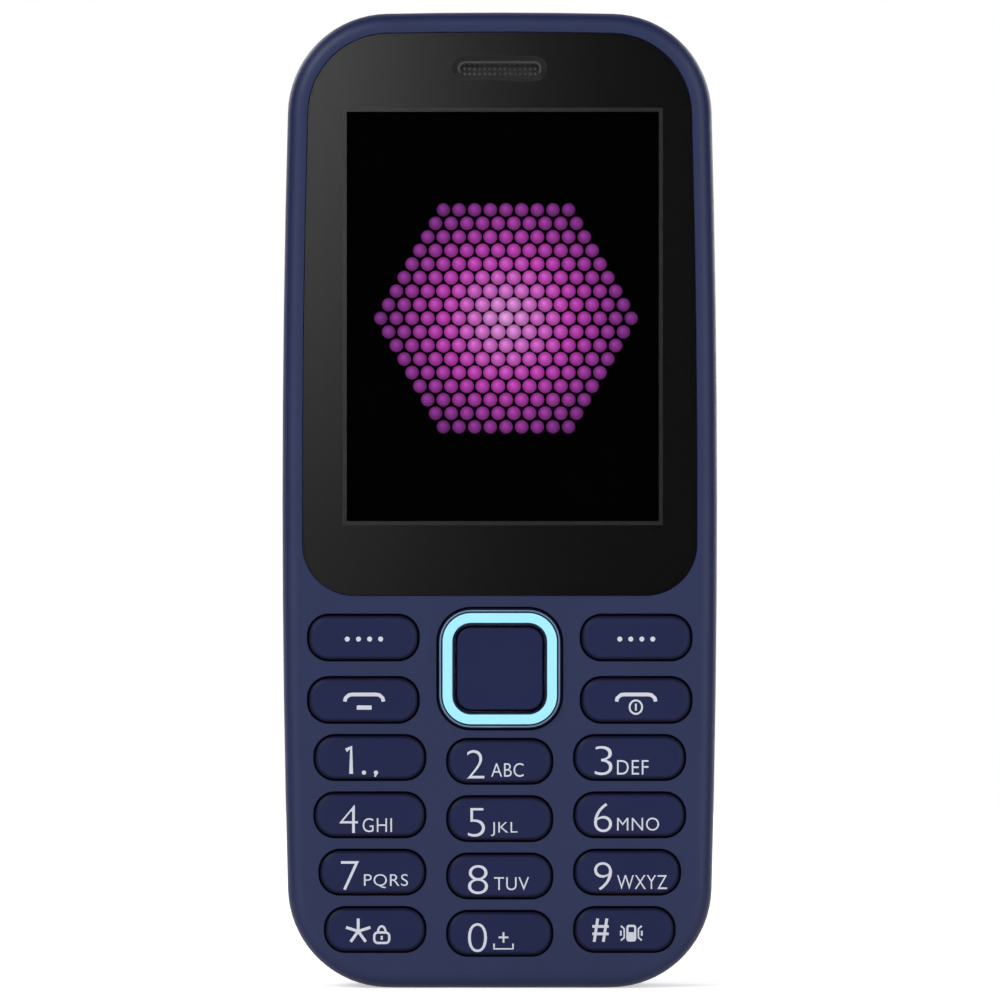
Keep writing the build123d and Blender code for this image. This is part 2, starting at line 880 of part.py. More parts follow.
def make_battery_cover():
    """The lift-off back: a tray with its grille, camera hole and end openings."""
    shell = slab(body_plan(), parting_depth + cover_gap, back_depth)
    shell = fillet(back_edges(shell), cover_edge_radius)
    shell = chamfer(front_edges(shell), parting_bevel)
    hollow = slab(body_plan(cover_wall), parting_depth - overrun, cover_inner)
    hollow = fillet(back_edges(hollow), cover_edge_radius - cover_wall)
    shell -= hollow
    shell -= slab(grille_plan(), cover_inner - overrun, back_depth + overrun)
    sight = plan_circle(-camera_left, camera_z, camera_sight_radius)
    shell -= slab(sight, cover_inner - overrun, back_depth + overrun)
    pocket_front = back_depth - camera_window_recess - camera_window_thickness
    pocket = plan_circle(-camera_left, camera_z, camera_window_radius + stack_gap)
    shell -= slab(pocket, pocket_front, back_depth + overrun)
    foot = inner_head_z - overrun
    plug = Pos(socket_right, socket_depth) * Circle(socket_mouth_radius)
    beam = Pos(0, torch_depth) * Circle(torch_mouth_radius)
    voice = Pos(microphone_right, microphone_depth) * Circle(microphone_port_radius)
    shell -= upright(plug, foot, body_height + overrun)
    shell -= upright(beam, foot, body_height + overrun)
    shell -= upright(voice, -overrun, microphone_rise)
    shell -= usb_notch()
    nail = Pos(body_width / 2, parting_depth + cover_gap) * Circle(nail_notch_radius)
    return shell - upright(nail, window_foot_z, window_foot_z + nail_notch_length)


def make_camera_window():
    """The small window over the camera, set in the cover."""
    back = back_depth - camera_window_recess
    plan = plan_circle(-camera_left, camera_z, camera_window_radius)
    return slab(plan, back - camera_window_thickness, back)


def make_speaker_mesh():
    """The dust mesh inside the cover's grille."""
    width = (grille_slot_count - 1) * grille_slot_pitch + grille_slot_width + 2 * speaker_mesh_margin
    length = grille_slot_length + 2 * speaker_mesh_margin
    plan = plan_box(speaker_right, speaker_z, width, length)
    return slab(plan, cover_inner - speaker_mesh_thickness, cover_inner)


def make_loudspeaker():
    """The loudspeaker box, with a dished cone on its sounding side."""
    box = slab(speaker_plan(), speaker_front, speaker_front + speaker_thickness)
    width = speaker_width * speaker_mouth_share
    length = speaker_length * speaker_mouth_share
    dish = plan_box(speaker_right, speaker_z, width, length, speaker_corner_radius)
    back = speaker_front + speaker_thickness
    return box - slab(dish, back - speaker_rib, back + overrun)


def make_camera_module():
    """The camera: square body, barrel and the cup of its lens."""
    body = slab(camera_plan(), camera_front, camera_front + camera_body_thickness)
    barrel = plan_circle(-camera_left, camera_z, camera_barrel_radius)
    body += slab(barrel, camera_front, deck_back)
    cup = plan_circle(-camera_left, camera_z, camera_lens_radius)
    return body - slab(cup, deck_back - camera_lens_depth, deck_back + overrun)


def make_camera_flex():
    """The camera's flex tail, from its body down to the board."""
    top = camera_front
    z = camera_z + camera_width / 2
    tail = z + camera_flex_tail
    board = board_back + stack_gap
    outline = [
        (top, z - camera_width),
        (top, z),
        (board + flex_thickness, tail),
        (board + flex_thickness, tail + flex_landing),
        (board, tail + flex_landing),
        (board, tail - flex_thickness),
        (top - flex_thickness, z - flex_thickness),
        (top - flex_thickness, z - camera_width),
    ]
    return side_on(make_face(Polyline(outline, close=True)), -camera_left, camera_flex_width)


def make_headphone_socket():
    """The 3.5 mm socket: body on the board, round nose and blind bore."""
    nose_head = inner_head_z - socket_cover_gap
    body_head = nose_head - socket_nose_length
    body = plan_box(
        socket_right,
        body_head - socket_body_length / 2,
        socket_body_width,
        socket_body_length,
    )
    socket = slab(body, board_back + stack_gap, socket_depth + socket_barrel_radius)
    nose = Pos(socket_right, socket_depth) * Circle(socket_barrel_radius - stack_gap)
    socket += upright(nose, body_head - overrun, nose_head)
    bore = Pos(socket_right, socket_depth) * Circle(plug_radius)
    return socket - upright(bore, nose_head - socket_bore_length, nose_head + overrun)


def make_torch_lens():
    """The torch's clear lens, flanged inside the end wall."""
    flange = Pos(0, torch_depth) * Circle(torch_flange_radius)
    stem = Pos(0, torch_depth) * Circle(torch_lens_radius)
    lens = upright(flange, torch_flange_head_z - torch_flange_thickness, torch_flange_head_z)
    lens += upright(stem, torch_flange_head_z - torch_flange_thickness, inner_head_z)
    return lens


def make_torch_led():
    """The torch's lamp, standing on the board behind its lens."""
    head = torch_flange_head_z - torch_flange_thickness - stack_gap - torch_bulb_radius
    plan = plan_box(0, head - torch_led_length / 2, torch_led_size, torch_led_length)
    body = slab(plan, post_front, torch_depth + torch_led_size / 2)
    return body + Pos(0, face_y + torch_depth, head) * Sphere(torch_bulb_radius)


def make_usb_socket():
    """The USB socket's pressed shell."""
    head = inner_inset + usb_length
    shell = upright(usb_plan(), inner_inset, head)
    return shell - upright(usb_plan(usb_sheet), inner_inset - overrun, head + overrun)


def usb_plan(inset=0.0):
    """The USB shell's outline across its mouth, moved inwards."""
    width = usb_width - 2 * inset
    height = usb_height - 2 * inset
    return Pos(0, usb_depth) * RectangleRounded(width, height, usb_corner_radius - inset)


def make_usb_tongue():
    """The contact tongue and moulded block inside the USB shell."""
    tongue = Pos(0, usb_depth) * Rectangle(usb_tongue_width, usb_tongue_thickness)
    piece = upright(usb_plan(usb_sheet), usb_block_z, usb_block_z + usb_block_length)
    return piece + upright(tongue, usb_block_z - usb_tongue_length, usb_block_z)


def make_microphone():
    """The microphone capsule."""
    z = microphone_rise + microphone_length / 2
    plan = plan_box(microphone_right, z, microphone_width, microphone_length)
    front = microphone_depth - microphone_thickness / 2
    return slab(plan, front, front + microphone_thickness)


def make_microphone_boot():
    """The rubber boot round the microphone, with its sound channel."""
    wall = microphone_boot_wall
    foot = board_inset + stack_gap
    head = microphone_rise + microphone_length + wall
    width = microphone_width + 2 * wall
    plan = plan_box(microphone_right, (foot + head) / 2, width, head - foot)
    boot = slab(plan, post_front, microphone_depth + microphone_thickness / 2 + wall)
    z = microphone_rise + microphone_length / 2
    pocket = plan_box(microphone_right, z, microphone_width, microphone_length)
    front = microphone_depth - microphone_thickness / 2
    boot -= slab(pocket, front, front + microphone_thickness)
    channel = Pos(microphone_right, microphone_depth) * Circle(microphone_port_radius)
    return boot - upright(channel, 0, microphone_rise)


def make_vibration_motor():
    """The motor can in its bracket, with the bearing at the shaft's end."""
    axis = Pos(-motor_left, motor_depth)
    can = upright(axis * Circle(motor_radius), motor_foot_z, motor_foot_z + motor_length)
    foot = plan_box(
        -motor_left, motor_foot_z + motor_length / 2, 2 * motor_radius, motor_length
    )
    can += slab(foot, board_back + stack_gap, motor_depth)
    bore = upright(axis * Circle(motor_shaft_radius + screw_gap), motor_foot_z - overrun, body_height)
    return can - bore


def make_motor_shaft():
    """The shaft with its half-round weight."""
    axis = Pos(-motor_left, motor_depth)
    can_head = motor_foot_z + motor_length
    shaft = upright(axis * Circle(motor_shaft_radius), motor_foot_z, can_head + motor_shaft_run)
    foot = can_head + motor_weight_gap
    half = Circle(motor_weight_radius) & Pos(0, motor_weight_radius) * Rectangle(
        2 * motor_weight_radius, 2 * motor_weight_radius
    )
    weight = axis * (half + Circle(motor_weight_hub_radius))
    return shaft + upright(weight, foot, foot + motor_weight_length)


def make_shield(x, z, width, length):
    """A pressed shielding can, open towards the board."""
    can = slab(plan_box(x, z, width, length, shield_corner_radius), board_back, component_back)
    inner_width = width - 2 * shield_sheet
    inner_length = length - 2 * shield_sheet
    radius = shield_corner_radius - shield_sheet
    inner = plan_box(x, z, inner_width, inner_length, radius)
    return can - slab(inner, board_back - overrun, component_back - shield_sheet)


def make_chip(x, z, width, length):
    """The chip under a shielding can."""
    side_x = width * shield_chip_share
    side_z = length * shield_chip_share
    return slab(plan_box(x, z, side_x, side_z), board_back, board_back + chip_height)


def make_card_holder(x, z, width, length):
    """A card holder: moulded floor under a pressed shell, open at its foot."""
    shell = slab(plan_box(x, z, width, length), board_back, component_back)
    slot_width = width * card_slot_width_share
    slot = plan_box(x, z - holder_head_wall / 2, slot_width, length - holder_head_wall)
    shell -= slab(slot, board_back + holder_floor, component_back - holder_sheet)
    window = plan_box(x, z, slot_width / 2, length / 2, holder_window_radius)
    return shell - slab(window, component_back - holder_sheet - stack_gap, component_back + overrun)


def make_battery():
    """The battery pack, with round long edges and its moulded head cap."""
    pack = battery_block(0.0, battery_foot_z, battery_head_z)
    groove_foot = battery_head_z - battery_cap_height - battery_groove_width
    groove_head = battery_head_z - battery_cap_height
    skin = battery_block(0.0, groove_foot, groove_head)
    return pack - (skin - battery_block(battery_groove_depth, groove_foot, groove_head))


def battery_block(inset, foot, head):
    """A length of the battery's round-edged section, moved inwards."""
    width = battery_width - 2 * inset
    thickness = battery_thickness - 2 * inset
    middle = (battery_front + battery_back) / 2
    section = RectangleRounded(width, thickness, battery_corner_radius - inset)
    return upright(Pos(0, middle) * section, foot, head)


def contact_places():
    """The x of each battery contact."""
    middle = (contact_count - 1) / 2
    return [-connector_left + (n - middle) * contact_pitch for n in range(contact_count)]


def make_battery_connector():
    """The moulded connector block, slotted for its contacts."""
    plan = plan_box(-connector_left, connector_z, connector_width, connector_length)
    block = slab(plan, board_back + stack_gap, board_back + connector_height)
    for x in contact_places():
        foot = connector_z - connector_length / 2
        cut = plan_box(x, foot, contact_width + side_gap, connector_length)
        back = board_back + connector_height
        block -= slab(cut, back - contact_height - side_gap, back + overrun)
    return block


def make_battery_contacts():
    """The sprung contacts, bowed towards the battery."""
    back = board_back + connector_height
    front = back - contact_height - side_gap
    root = connector_z - stack_gap
    tip = battery_head_z + stack_gap
    bend = tip + contact_metal
    inner = (front + back) / 2
    outline = [
        (front, root),
        (front, bend),
        (inner, tip),
        (back, bend + contact_metal),
        (back, bend + 2 * contact_metal),
        (inner, tip + contact_metal),
        (front + contact_metal, bend + contact_metal / 2),
        (front + contact_metal, root),
    ]
    face = make_face(Polyline(outline, close=True))
    return [side_on(face, x, contact_width) for x in contact_places()]


def make_housing_screws():
    """The six cross-recessed screws through the rear housing into the front bosses."""
    tip = plate_thickness - screw_bite + stack_gap
    screws = []
    for x, z in screw_places:
        screw = slab(plan_circle(x, z, screw_radius), tip, screw_seat_depth)
        head_back = screw_seat_depth + screw_head_height
        screw += slab(plan_circle(x, z, screw_head_radius), screw_seat_depth, head_back)
        cross = plan_box(x, z, screw_slot_length, screw_slot_width)
        cross += plan_box(x, z, screw_slot_width, screw_slot_length)
        screws.append(screw - slab(cross, head_back - screw_slot_depth, head_back + overrun))
    return screws


def make_antenna():
    """The meandering antenna foil on the deck, below the battery."""
    z = antenna_rise + antenna_length / 2
    foil = plan_box(0, z, antenna_width, antenna_length)
    foil &= body_plan(inner_inset + housing_wall)
    for x, screw_z in screw_places:
        foil -= plan_circle(x, screw_z, head_well_radius + side_gap)
    middle = (antenna_slot_count - 1) / 2
    for n in range(antenna_slot_count):
        x = (n - middle) * antenna_slot_pitch
        side = 1 if n % 2 else -1
        foil -= plan_box(x, z + side * antenna_slot, antenna_slot, antenna_length - antenna_slot)
    return slab(foil, deck_back, deck_back + antenna_thickness)


def make_parts():
    """Every piece, by node name."""
    parts = {
        "front_housing": make_front_housing(),
        "display_lens": make_display_lens(),
        "lens_border": make_lens_border(),
        "earpiece_mesh": make_earpiece_mesh(),
        "earpiece_receiver": make_earpiece_receiver(),
        "lcd_panel": make_lcd_panel(),
        "backlight": make_backlight(),
        "lcd_frame": make_lcd_frame(),
        "lcd_flex": make_lcd_flex(),
        "select_key": make_select_key(),
        "nav_ring": make_nav_ring(),
        "nav_band": make_nav_band(),
        "nav_pad": make_nav_pad(),
        "keypad_mat": make_keypad_mat(),
        "dome_sheet": make_dome_sheet(),
        "metal_domes": make_metal_domes(),
        "main_board": make_main_board(),
        "upper_shield": make_shield(0, upper_shield_z, upper_shield_width, upper_shield_length),
        "bay_shield": make_shield(sim_x, bay_shield_z, bay_shield_width, bay_shield_length),
        "board_chips": [
            make_chip(0, upper_shield_z, upper_shield_width, upper_shield_length),
            make_chip(sim_x, bay_shield_z, bay_shield_width, bay_shield_length),
        ],
        "sim_holder_left": make_card_holder(-sim_x, sim_z, sim_width, sim_length),
        "sim_holder_right": make_card_holder(sim_x, sim_z, sim_width, sim_length),
        "memory_card_holder": make_card_holder(-sim_x, memory_z, memory_width, memory_length),
        "battery_connector": make_battery_connector(),
        "battery_contacts": make_battery_contacts(),
        "headphone_socket": make_headphone_socket(),
        "torch_led": make_torch_led(),
        "torch_lens": make_torch_lens(),
        "usb_socket": make_usb_socket(),
        "usb_tongue": make_usb_tongue(),
        "microphone": make_microphone(),
        "microphone_boot": make_microphone_boot(),
        "vibration_motor": make_vibration_motor(),
        "motor_shaft": make_motor_shaft(),
        "loudspeaker": make_loudspeaker(),
        "camera_module": make_camera_module(),
        "camera_flex": make_camera_flex(),
        "rear_housing": make_rear_housing(),
        "antenna": make_antenna(),
        "housing_screws": make_housing_screws(),
        "battery": make_battery(),
        "battery_cover": make_battery_cover(),
        "camera_window": make_camera_window(),
        "speaker_mesh": make_speaker_mesh(),
    }
    for name, place in key_places.items():
        parts[name] = make_key(place)
    return parts


def main():
    """Writes one STEP file for each piece."""
    os.makedirs("parts", exist_ok=True)
    for name, shape in make_parts().items():
        solids = shape if isinstance(shape, list) else [shape]
        found = [solid for piece in solids for solid in piece.solids()]
        export_step(Compound(children=found), f"parts/{name}.step")


main()
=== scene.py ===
"""A bar-type feature phone with a number keypad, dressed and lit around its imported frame."""

import logging
import math
from dataclasses import dataclass, field
from enum import Enum
from typing import Callable, Iterator, Sequence

import bmesh
import bpy
from mathutils import Matrix, Vector
from mathutils.geometry import convex_hull_2d


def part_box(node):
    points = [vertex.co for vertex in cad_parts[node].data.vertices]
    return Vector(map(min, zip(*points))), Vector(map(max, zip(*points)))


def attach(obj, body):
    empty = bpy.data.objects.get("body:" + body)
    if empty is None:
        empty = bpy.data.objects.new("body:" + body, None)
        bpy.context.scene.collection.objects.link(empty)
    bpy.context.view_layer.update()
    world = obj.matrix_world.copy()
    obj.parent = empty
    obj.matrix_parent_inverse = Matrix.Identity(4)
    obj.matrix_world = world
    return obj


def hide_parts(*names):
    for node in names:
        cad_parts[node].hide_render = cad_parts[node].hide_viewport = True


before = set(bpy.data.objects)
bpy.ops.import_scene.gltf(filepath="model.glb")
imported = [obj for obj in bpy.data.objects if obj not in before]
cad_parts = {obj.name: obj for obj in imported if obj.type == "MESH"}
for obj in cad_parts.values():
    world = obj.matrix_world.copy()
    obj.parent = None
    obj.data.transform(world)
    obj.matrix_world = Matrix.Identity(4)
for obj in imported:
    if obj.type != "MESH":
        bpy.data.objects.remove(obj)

LOG = logging.getLogger("phone")

MM = 0.001
SHARP_ANGLE = math.radians(38.0)
QUARTER_TURN = math.radians(90.0)
HALF = 0.5
HALF_CIRCLE, FULL_CIRCLE = 180.0, 360.0

# The display's curve from steps to light: a straight foot, and a bend above it.
TOP_STEP = 255.0
LOW_END, LOW_DIVISOR = 0.04045, 12.92
BEND_SHIFT, BEND_SCALE, BEND_POWER = 0.055, 1.055, 2.4

# The Mix node's sockets for colours, which share their names with those for numbers.
MIX_FACTOR, MIX_A, MIX_B, MIX_RESULT = 0, 6, 7, 2

# How far the Wave node turns over one metre at a scale of one.
WAVE_RADIANS = 20.0

GLOW_LAYER = "glow"

Point = tuple[float, float]
Triple = tuple[float, float, float]
Socket = bpy.types.NodeSocket
Sockets = dict[str | int, object]

EVEN: Triple = (1.0, 1.0, 1.0)
UNTURNED: Triple = (0.0, 0.0, 0.0)


class Body(str, Enum):
    """The moving bodies that new pieces ride on, apart from the keys' own."""

    CHASSIS = "chassis"
    COVER = "battery_cover"
    BATTERY = "battery"
    RING = "nav_ring"


class Slot(str, Enum):
    """The record's material slots."""

    HOUSING = "navy_housing"
    COVER = "navy_cover"
    KEYS = "navy_keys"
    BAND = "cyan_band"
    LENS = "lens_clear"
    BORDER = "border_black"
    DISPLAY = "display_glass"
    LIGHT_GUIDE = "light_guide"
    STEEL = "stamped_steel"
    DOMES = "dome_steel"
    MESH = "mesh_steel"
    BOARD = "board_laminate"
    CHIPS = "chip_resin"
    SILICONE = "silicone"
    FILM = "dome_film"
    FLEX = "flex_amber"
    BLACK = "black_plastic"
    BOOT = "boot_rubber"
    GOLD = "contact_gold"
    ANTENNA = "antenna_copper"
    SCREWS = "screw_steel"
    BATTERY = "battery_skin"
    TORCH = "torch_clear"
    LAMP = "torch_lamp"
    CAMERA = "camera_glass"
    SPEAKER = "speaker_paper"


class Axis(str, Enum):
    """The phone's own axes."""

    ACROSS = "X"
    DEEP = "Y"
    UP = "Z"


class Facing(Enum):
    """Which way a flat drawing looks on the phone, with the turn that brings it there."""

    FRONT = QUARTER_TURN
    BACK = -QUARTER_TURN


class Hung(Enum):
    """How a card hangs in the studio, with its turns about the across and the up axis."""

    FLAT = (0.0, 0.0)
    UPRIGHT = (QUARTER_TURN, 0.0)
    SIDEWAYS = (QUARTER_TURN, QUARTER_TURN)


class Sketch(Enum):
    """The legends that are drawn in strokes and dots instead of letters."""

    ONE = "one"
    SPACE = "space"
    STAR = "star"
    HASH = "hash"
    CALL = "call"
    END = "end"
    LEFT_DOTS = "left dots"
    RIGHT_DOTS = "right dots"


def linear(channel: float) -> float:
    """Turns one channel of a display colour into linear light.

    Args:
        channel: the channel, from 0 to 1.

    Returns:
        Its light, from 0 to 1.
    """
    if channel <= LOW_END:
        return channel / LOW_DIVISOR
    return ((channel + BEND_SHIFT) / BEND_SCALE) ** BEND_POWER


@dataclass(frozen=True)
class Colour:
    """A colour in display steps from 0 to 255, as a paint card gives it."""

    red: float
    green: float
    blue: float

    def light(self) -> tuple[float, float, float, float]:
        """The colour as linear light with full cover, which is what the shader sockets take."""
        channels = [linear(step / TOP_STEP) for step in (self.red, self.green, self.blue)]
        return (*channels, 1.0)

    def towards(self, other: "Colour", share: float) -> "Colour":
        """Mixes the colour with another one.

        Args:
            other: the colour that it is drawn towards.
            share: how far it goes, from 0 to 1.

        Returns:
            The mixed colour.
        """
        return Colour(
            self.red + (other.red - self.red) * share,
            self.green + (other.green - self.green) * share,
            self.blue + (other.blue - self.blue) * share,
        )


WHITE = Colour(255, 255, 255)
BLACK = Colour(4, 4, 5)


@dataclass(frozen=True)
class Cloud:
    """A soft random pattern.

    Attributes:
        size: width of one blotch in millimetres.
        detail: how many finer layers it has.
        stretch: how much denser it is along each axis.
    """

    size: float
    detail: float
    stretch: Triple = EVEN


@dataclass(frozen=True)
class DepthShade:
    """Painted shade: a darker colour that takes over as the surface lies further back, standing in for the
    shade on sloping sides and round edges.

    Attributes:
        colour: the painted shade's colour.
        start: depth coordinate at which it begins, in millimetres.
        end: depth coordinate from which nothing else is left.
    """

    colour: Colour
    start: float
    end: float


class Sheet:
    """The node sheet of a material or of the world, with short methods that add nodes and join them."""

    def __init__(
        self,
        owner: bpy.types.Material | bpy.types.World,
        output: str = "ShaderNodeOutputMaterial",
    ) -> None:
        """Starts an empty sheet with only its output node.

        Args:
            owner: what the sheet belongs to.
            output: Blender's name for the output node.
        """
        self.owner = owner
        self.owner.use_nodes = True
        self.tree = self.owner.node_tree
        self.tree.nodes.clear()
        self.output = self.add(output)

    def add(self, kind: str, sockets: Sockets | None = None, **settings: object) -> bpy.types.Node:
        """Adds one node.

        Args:
            kind: Blender's name for the node's type.
            sockets: input name or number, with its value or the socket that feeds it.
            settings: attributes of the node itself.

        Returns:
            The new node.
        """
        node = self.tree.nodes.new(kind)
        for key, value in settings.items():
            setattr(node, key, value)
        for key, value in (sockets or {}).items():
            if isinstance(value, Socket):
                self.tree.links.new(value, node.inputs[key])
            else:
                node.inputs[key].default_value = value
        return node

    def place(self, stretch: Triple = EVEN, turn: Triple = UNTURNED) -> Socket:
        """Gives the object's own coordinates.

        Args:
            stretch: how much each axis is stretched.
            turn: how far they are turned about each axis.

        Returns:
            The socket that gives them.
        """
        coordinates = self.add("ShaderNodeTexCoord").outputs["Object"]
        mapping = {"Vector": coordinates, "Scale": stretch, "Rotation": turn}
        return self.add("ShaderNodeMapping", mapping).outputs["Vector"]

    def along(self, axis: Axis) -> Socket:
        """The object's own coordinate along one axis."""
        return self.add("ShaderNodeSeparateXYZ", {"Vector": self.place()}).outputs[axis.value]

    def noise(self, cloud: Cloud) -> Socket:
        """Adds a soft random pattern.

        Args:
            cloud: the pattern.

        Returns:
            The socket that gives its level.
        """
        scale = 1.0 / (cloud.size * MM)
        sockets = {"Vector": self.place(cloud.stretch), "Scale": scale, "Detail": cloud.detail}
        return self.add("ShaderNodeTexNoise", sockets).outputs["Fac"]

    def bands(self, pitch: float, axis: Axis) -> Socket:
        """Adds soft parallel stripes.

        Args:
            pitch: from one stripe to the next, in millimetres.
            axis: the axis that they follow one another along.

        Returns:
            The socket that gives their level.
        """
        scale = math.tau / (WAVE_RADIANS * pitch * MM)
        sockets = {"Vector": self.place(), "Scale": scale, "Distortion": 0.0}
        wave = self.add("ShaderNodeTexWave", sockets, wave_type="BANDS", bands_direction=axis.value)
        return wave.outputs["Fac"]

    def ranged(
        self,
        level: Socket,
        low: float = 0.0,
        high: float = 1.0,
        start: float = 0.3,
        end: float = 0.7,
    ) -> Socket:
        """Maps one range of levels to another.

        Args:
            level: the socket that gives the level.
            low: what it becomes at the start.
            high: what it becomes at the end.
            start: the level that becomes low. Noise seldom lies under 0.3.
            end: the level that becomes high. Noise seldom lies over 0.7.

        Returns:
            The socket that gives the mapped level.
        """
        sockets = {"Value": level, "From Min": start, "From Max": end, "To Min": low, "To Max": high}
        return self.add("ShaderNodeMapRange", sockets).outputs["Result"]

    def tinted(self, level: Socket, first: Colour | Socket, second: Colour | Socket) -> Socket:
        """Mixes two colours.

        Args:
            level: the socket that gives the second colour's share.
            first: the colour at nought, or the socket that gives it.
            second: the colour at one, or the socket that gives it.

        Returns:
            The socket that gives the mixed colour.
        """
        ends = [end.light() if isinstance(end, Colour) else end for end in (first, second)]
        sockets = {MIX_FACTOR: level, MIX_A: ends[0], MIX_B: ends[1]}
        return self.add("ShaderNodeMix", sockets, data_type="RGBA").outputs[MIX_RESULT]

    def maths(self, operation: str, *values: Socket | float) -> Socket:
        """One step of arithmetic on sockets and numbers."""
        return self.add("ShaderNodeMath", dict(enumerate(values)), operation=operation).outputs[0]

    def total(self, *levels: Socket) -> Socket:
        """Adds levels up.

        Args:
            levels: the sockets that give them.

        Returns:
            The socket that gives their sum.
        """
        reached = levels[0]
        for level in levels[1:]:
            reached = self.maths("ADD", reached, level)
        return reached

    def bumped(self, height: Socket, depth: float, strength: float = 1.0) -> Socket:
        """Turns a level into surface relief.

        Args:
            height: the socket that gives the level.
            depth: how deep the relief is, in millimetres.
            strength: how much of it shows, from 0 to 1.

        Returns:
            The socket that gives the surface's direction.
        """
        sockets = {"Height": height, "Distance": depth * MM, "Strength": strength}
        return self.add("ShaderNodeBump", sockets).outputs["Normal"]

    def backdrop(self) -> Socket:
        """Tells the rays that show the backdrop from those that light the phone.

        Returns:
            The socket that gives one where the backdrop is seen straight, in gloss or through
            glass, and nought elsewhere.
        """
        path = self.add("ShaderNodeLightPath").outputs
        seen = self.maths("MAXIMUM", path["Is Camera Ray"], path["Is Glossy Ray"])
        return self.maths("MAXIMUM", seen, path["Is Transmission Ray"])

    def show(self, kind: str, sockets: Sockets) -> None:
        """Adds a shader and joins it to the output.

        Args:
            kind: Blender's name for the shader's type.
            sockets: input name, with its value or the socket that feeds it.
        """
        shader = self.add(kind, sockets)
        self.tree.links.new(shader.outputs[0], self.output.inputs["Surface"])


class Finish:
    """A finish, which each kind of it describes by the inputs of the surface shader."""

    def sockets(self, sheet: Sheet) -> Sockets:
        """Adds the nodes that feed the surface shader.

        Args:
            sheet: the material's sheet.

        Returns:
            The shader's inputs by name, each with its value or the socket that feeds it.
        """
        raise NotImplementedError

    def make(self, name: str) -> bpy.types.Material:
        """Makes the finish a material.

        Args:
            name: the material's name.

        Returns:
            The material.
        """
        sheet = Sheet(bpy.data.materials.new(name))
        sheet.show("ShaderNodeBsdfPrincipled", self.sockets(sheet))
        return sheet.owner


@dataclass(frozen=True)
class Moulding(Finish):
    """A moulded plastic or rubber with a fine sparked grain.

    Attributes:
        colour: its colour.
        shade: the colour of its faint blotches.
        smoothest: its lowest roughness.
        roughest: its highest roughness.
        grain: width of one grain in millimetres.
        relief: depth of the grain in millimetres.
        blotch: width of one blotch in millimetres.
        shine: how strong its gloss is.
        glow: painted light, an emission that makes the paint look brighter than the lamps make it.
        depth_light: how much light goes through it.
        edge: a painted shade that darkens the surface as it lies further back, if it has one.
        layers: how many finer layers grain and blotches have.
        wear_share: width of one patch of wear, in grains.
        wear_layers: how many finer layers the wear has.
    """

    colour: Colour
    shade: Colour
    smoothest: float
    roughest: float
    grain: float = 0.16
    relief: float = 0.004
    blotch: float = 9.0
    shine: float = 0.5
    glow: float = 0.0
    depth_light: float = 0.0
    edge: DepthShade | None = None
    layers: float = 2.0
    wear_share: float = 6.0
    wear_layers: float = 4.0

    def sockets(self, sheet: Sheet) -> Sockets:
        """Adds the blotches, the grain, the wear, the painted shade towards the back and the painted glow.

        Args:
            sheet: the material's sheet.

        Returns:
            The shader's inputs.
        """
        cloud = sheet.noise(Cloud(self.blotch, self.layers))
        grain = sheet.noise(Cloud(self.grain, self.layers))
        wear = sheet.noise(Cloud(self.grain * self.wear_share, self.wear_layers))
        colour = sheet.tinted(sheet.ranged(cloud), self.colour, self.shade)
        # Painted shade: further back, the colour turns to the darker edge colour.
        if self.edge is not None:
            start, end = self.edge.start * MM, self.edge.end * MM
            back = sheet.ranged(sheet.along(Axis.DEEP), start=start, end=end)
            colour = sheet.tinted(back, colour, self.edge.colour)
        sockets = {
            "Base Color": colour,
            "Roughness": sheet.ranged(wear, self.smoothest, self.roughest),
            "Specular IOR Level": self.shine,
            "Normal": sheet.bumped(grain, self.relief),
        }
        # Painted light: the surface glows in its own colour.
        if self.glow > 0.0:
            sockets.update({"Emission Color": self.colour.light(), "Emission Strength": self.glow})
        if self.depth_light > 0.0:
            sockets.update({"Subsurface Weight": self.depth_light, "Subsurface Scale": MM})
        return sockets


@dataclass(frozen=True)
class Brushed(Finish):
    """A metal with fine lines from rolling or turning.

    Attributes:
        colour: its colour.
        shade: the colour of its stains.
        smoothest: its lowest roughness.
        roughest: its highest roughness.
        line: width of one line in millimetres.
        length: length of one line, in widths.
        relief: depth of the lines in millimetres.
        line_layers: how many finer layers the lines have.
        stain: the pattern of the stains.
        rough_start: the sum of line and stain at which it is smoothest.
        rough_end: the sum at which it is roughest.
    """

    colour: Colour
    shade: Colour
    smoothest: float = 0.22
    roughest: float = 0.42
    line: float = 0.07
    length: float = 14.0
    relief: float = 0.0012
    line_layers: float = 3.0
    stain: Cloud = Cloud(3.5, 4.0)
    rough_start: float = 0.7
    rough_end: float = 1.3

    def sockets(self, sheet: Sheet) -> Sockets:
        """Adds the lines and the stains.

        Args:
            sheet: the material's sheet.

        Returns:
            The shader's inputs.
        """
        stretch = (self.length, self.length, 1.0)
        lines = sheet.noise(Cloud(self.line * self.length, self.line_layers, stretch))
        stains = sheet.noise(self.stain)
        both = sheet.total(lines, stains)
        rough = sheet.ranged(both, self.smoothest, self.roughest, self.rough_start, self.rough_end)
        return {
            "Base Color": sheet.tinted(sheet.ranged(stains), self.colour, self.shade),
            "Metallic": 1.0,
            "Roughness": rough,
            "Normal": sheet.bumped(lines, self.relief),
        }


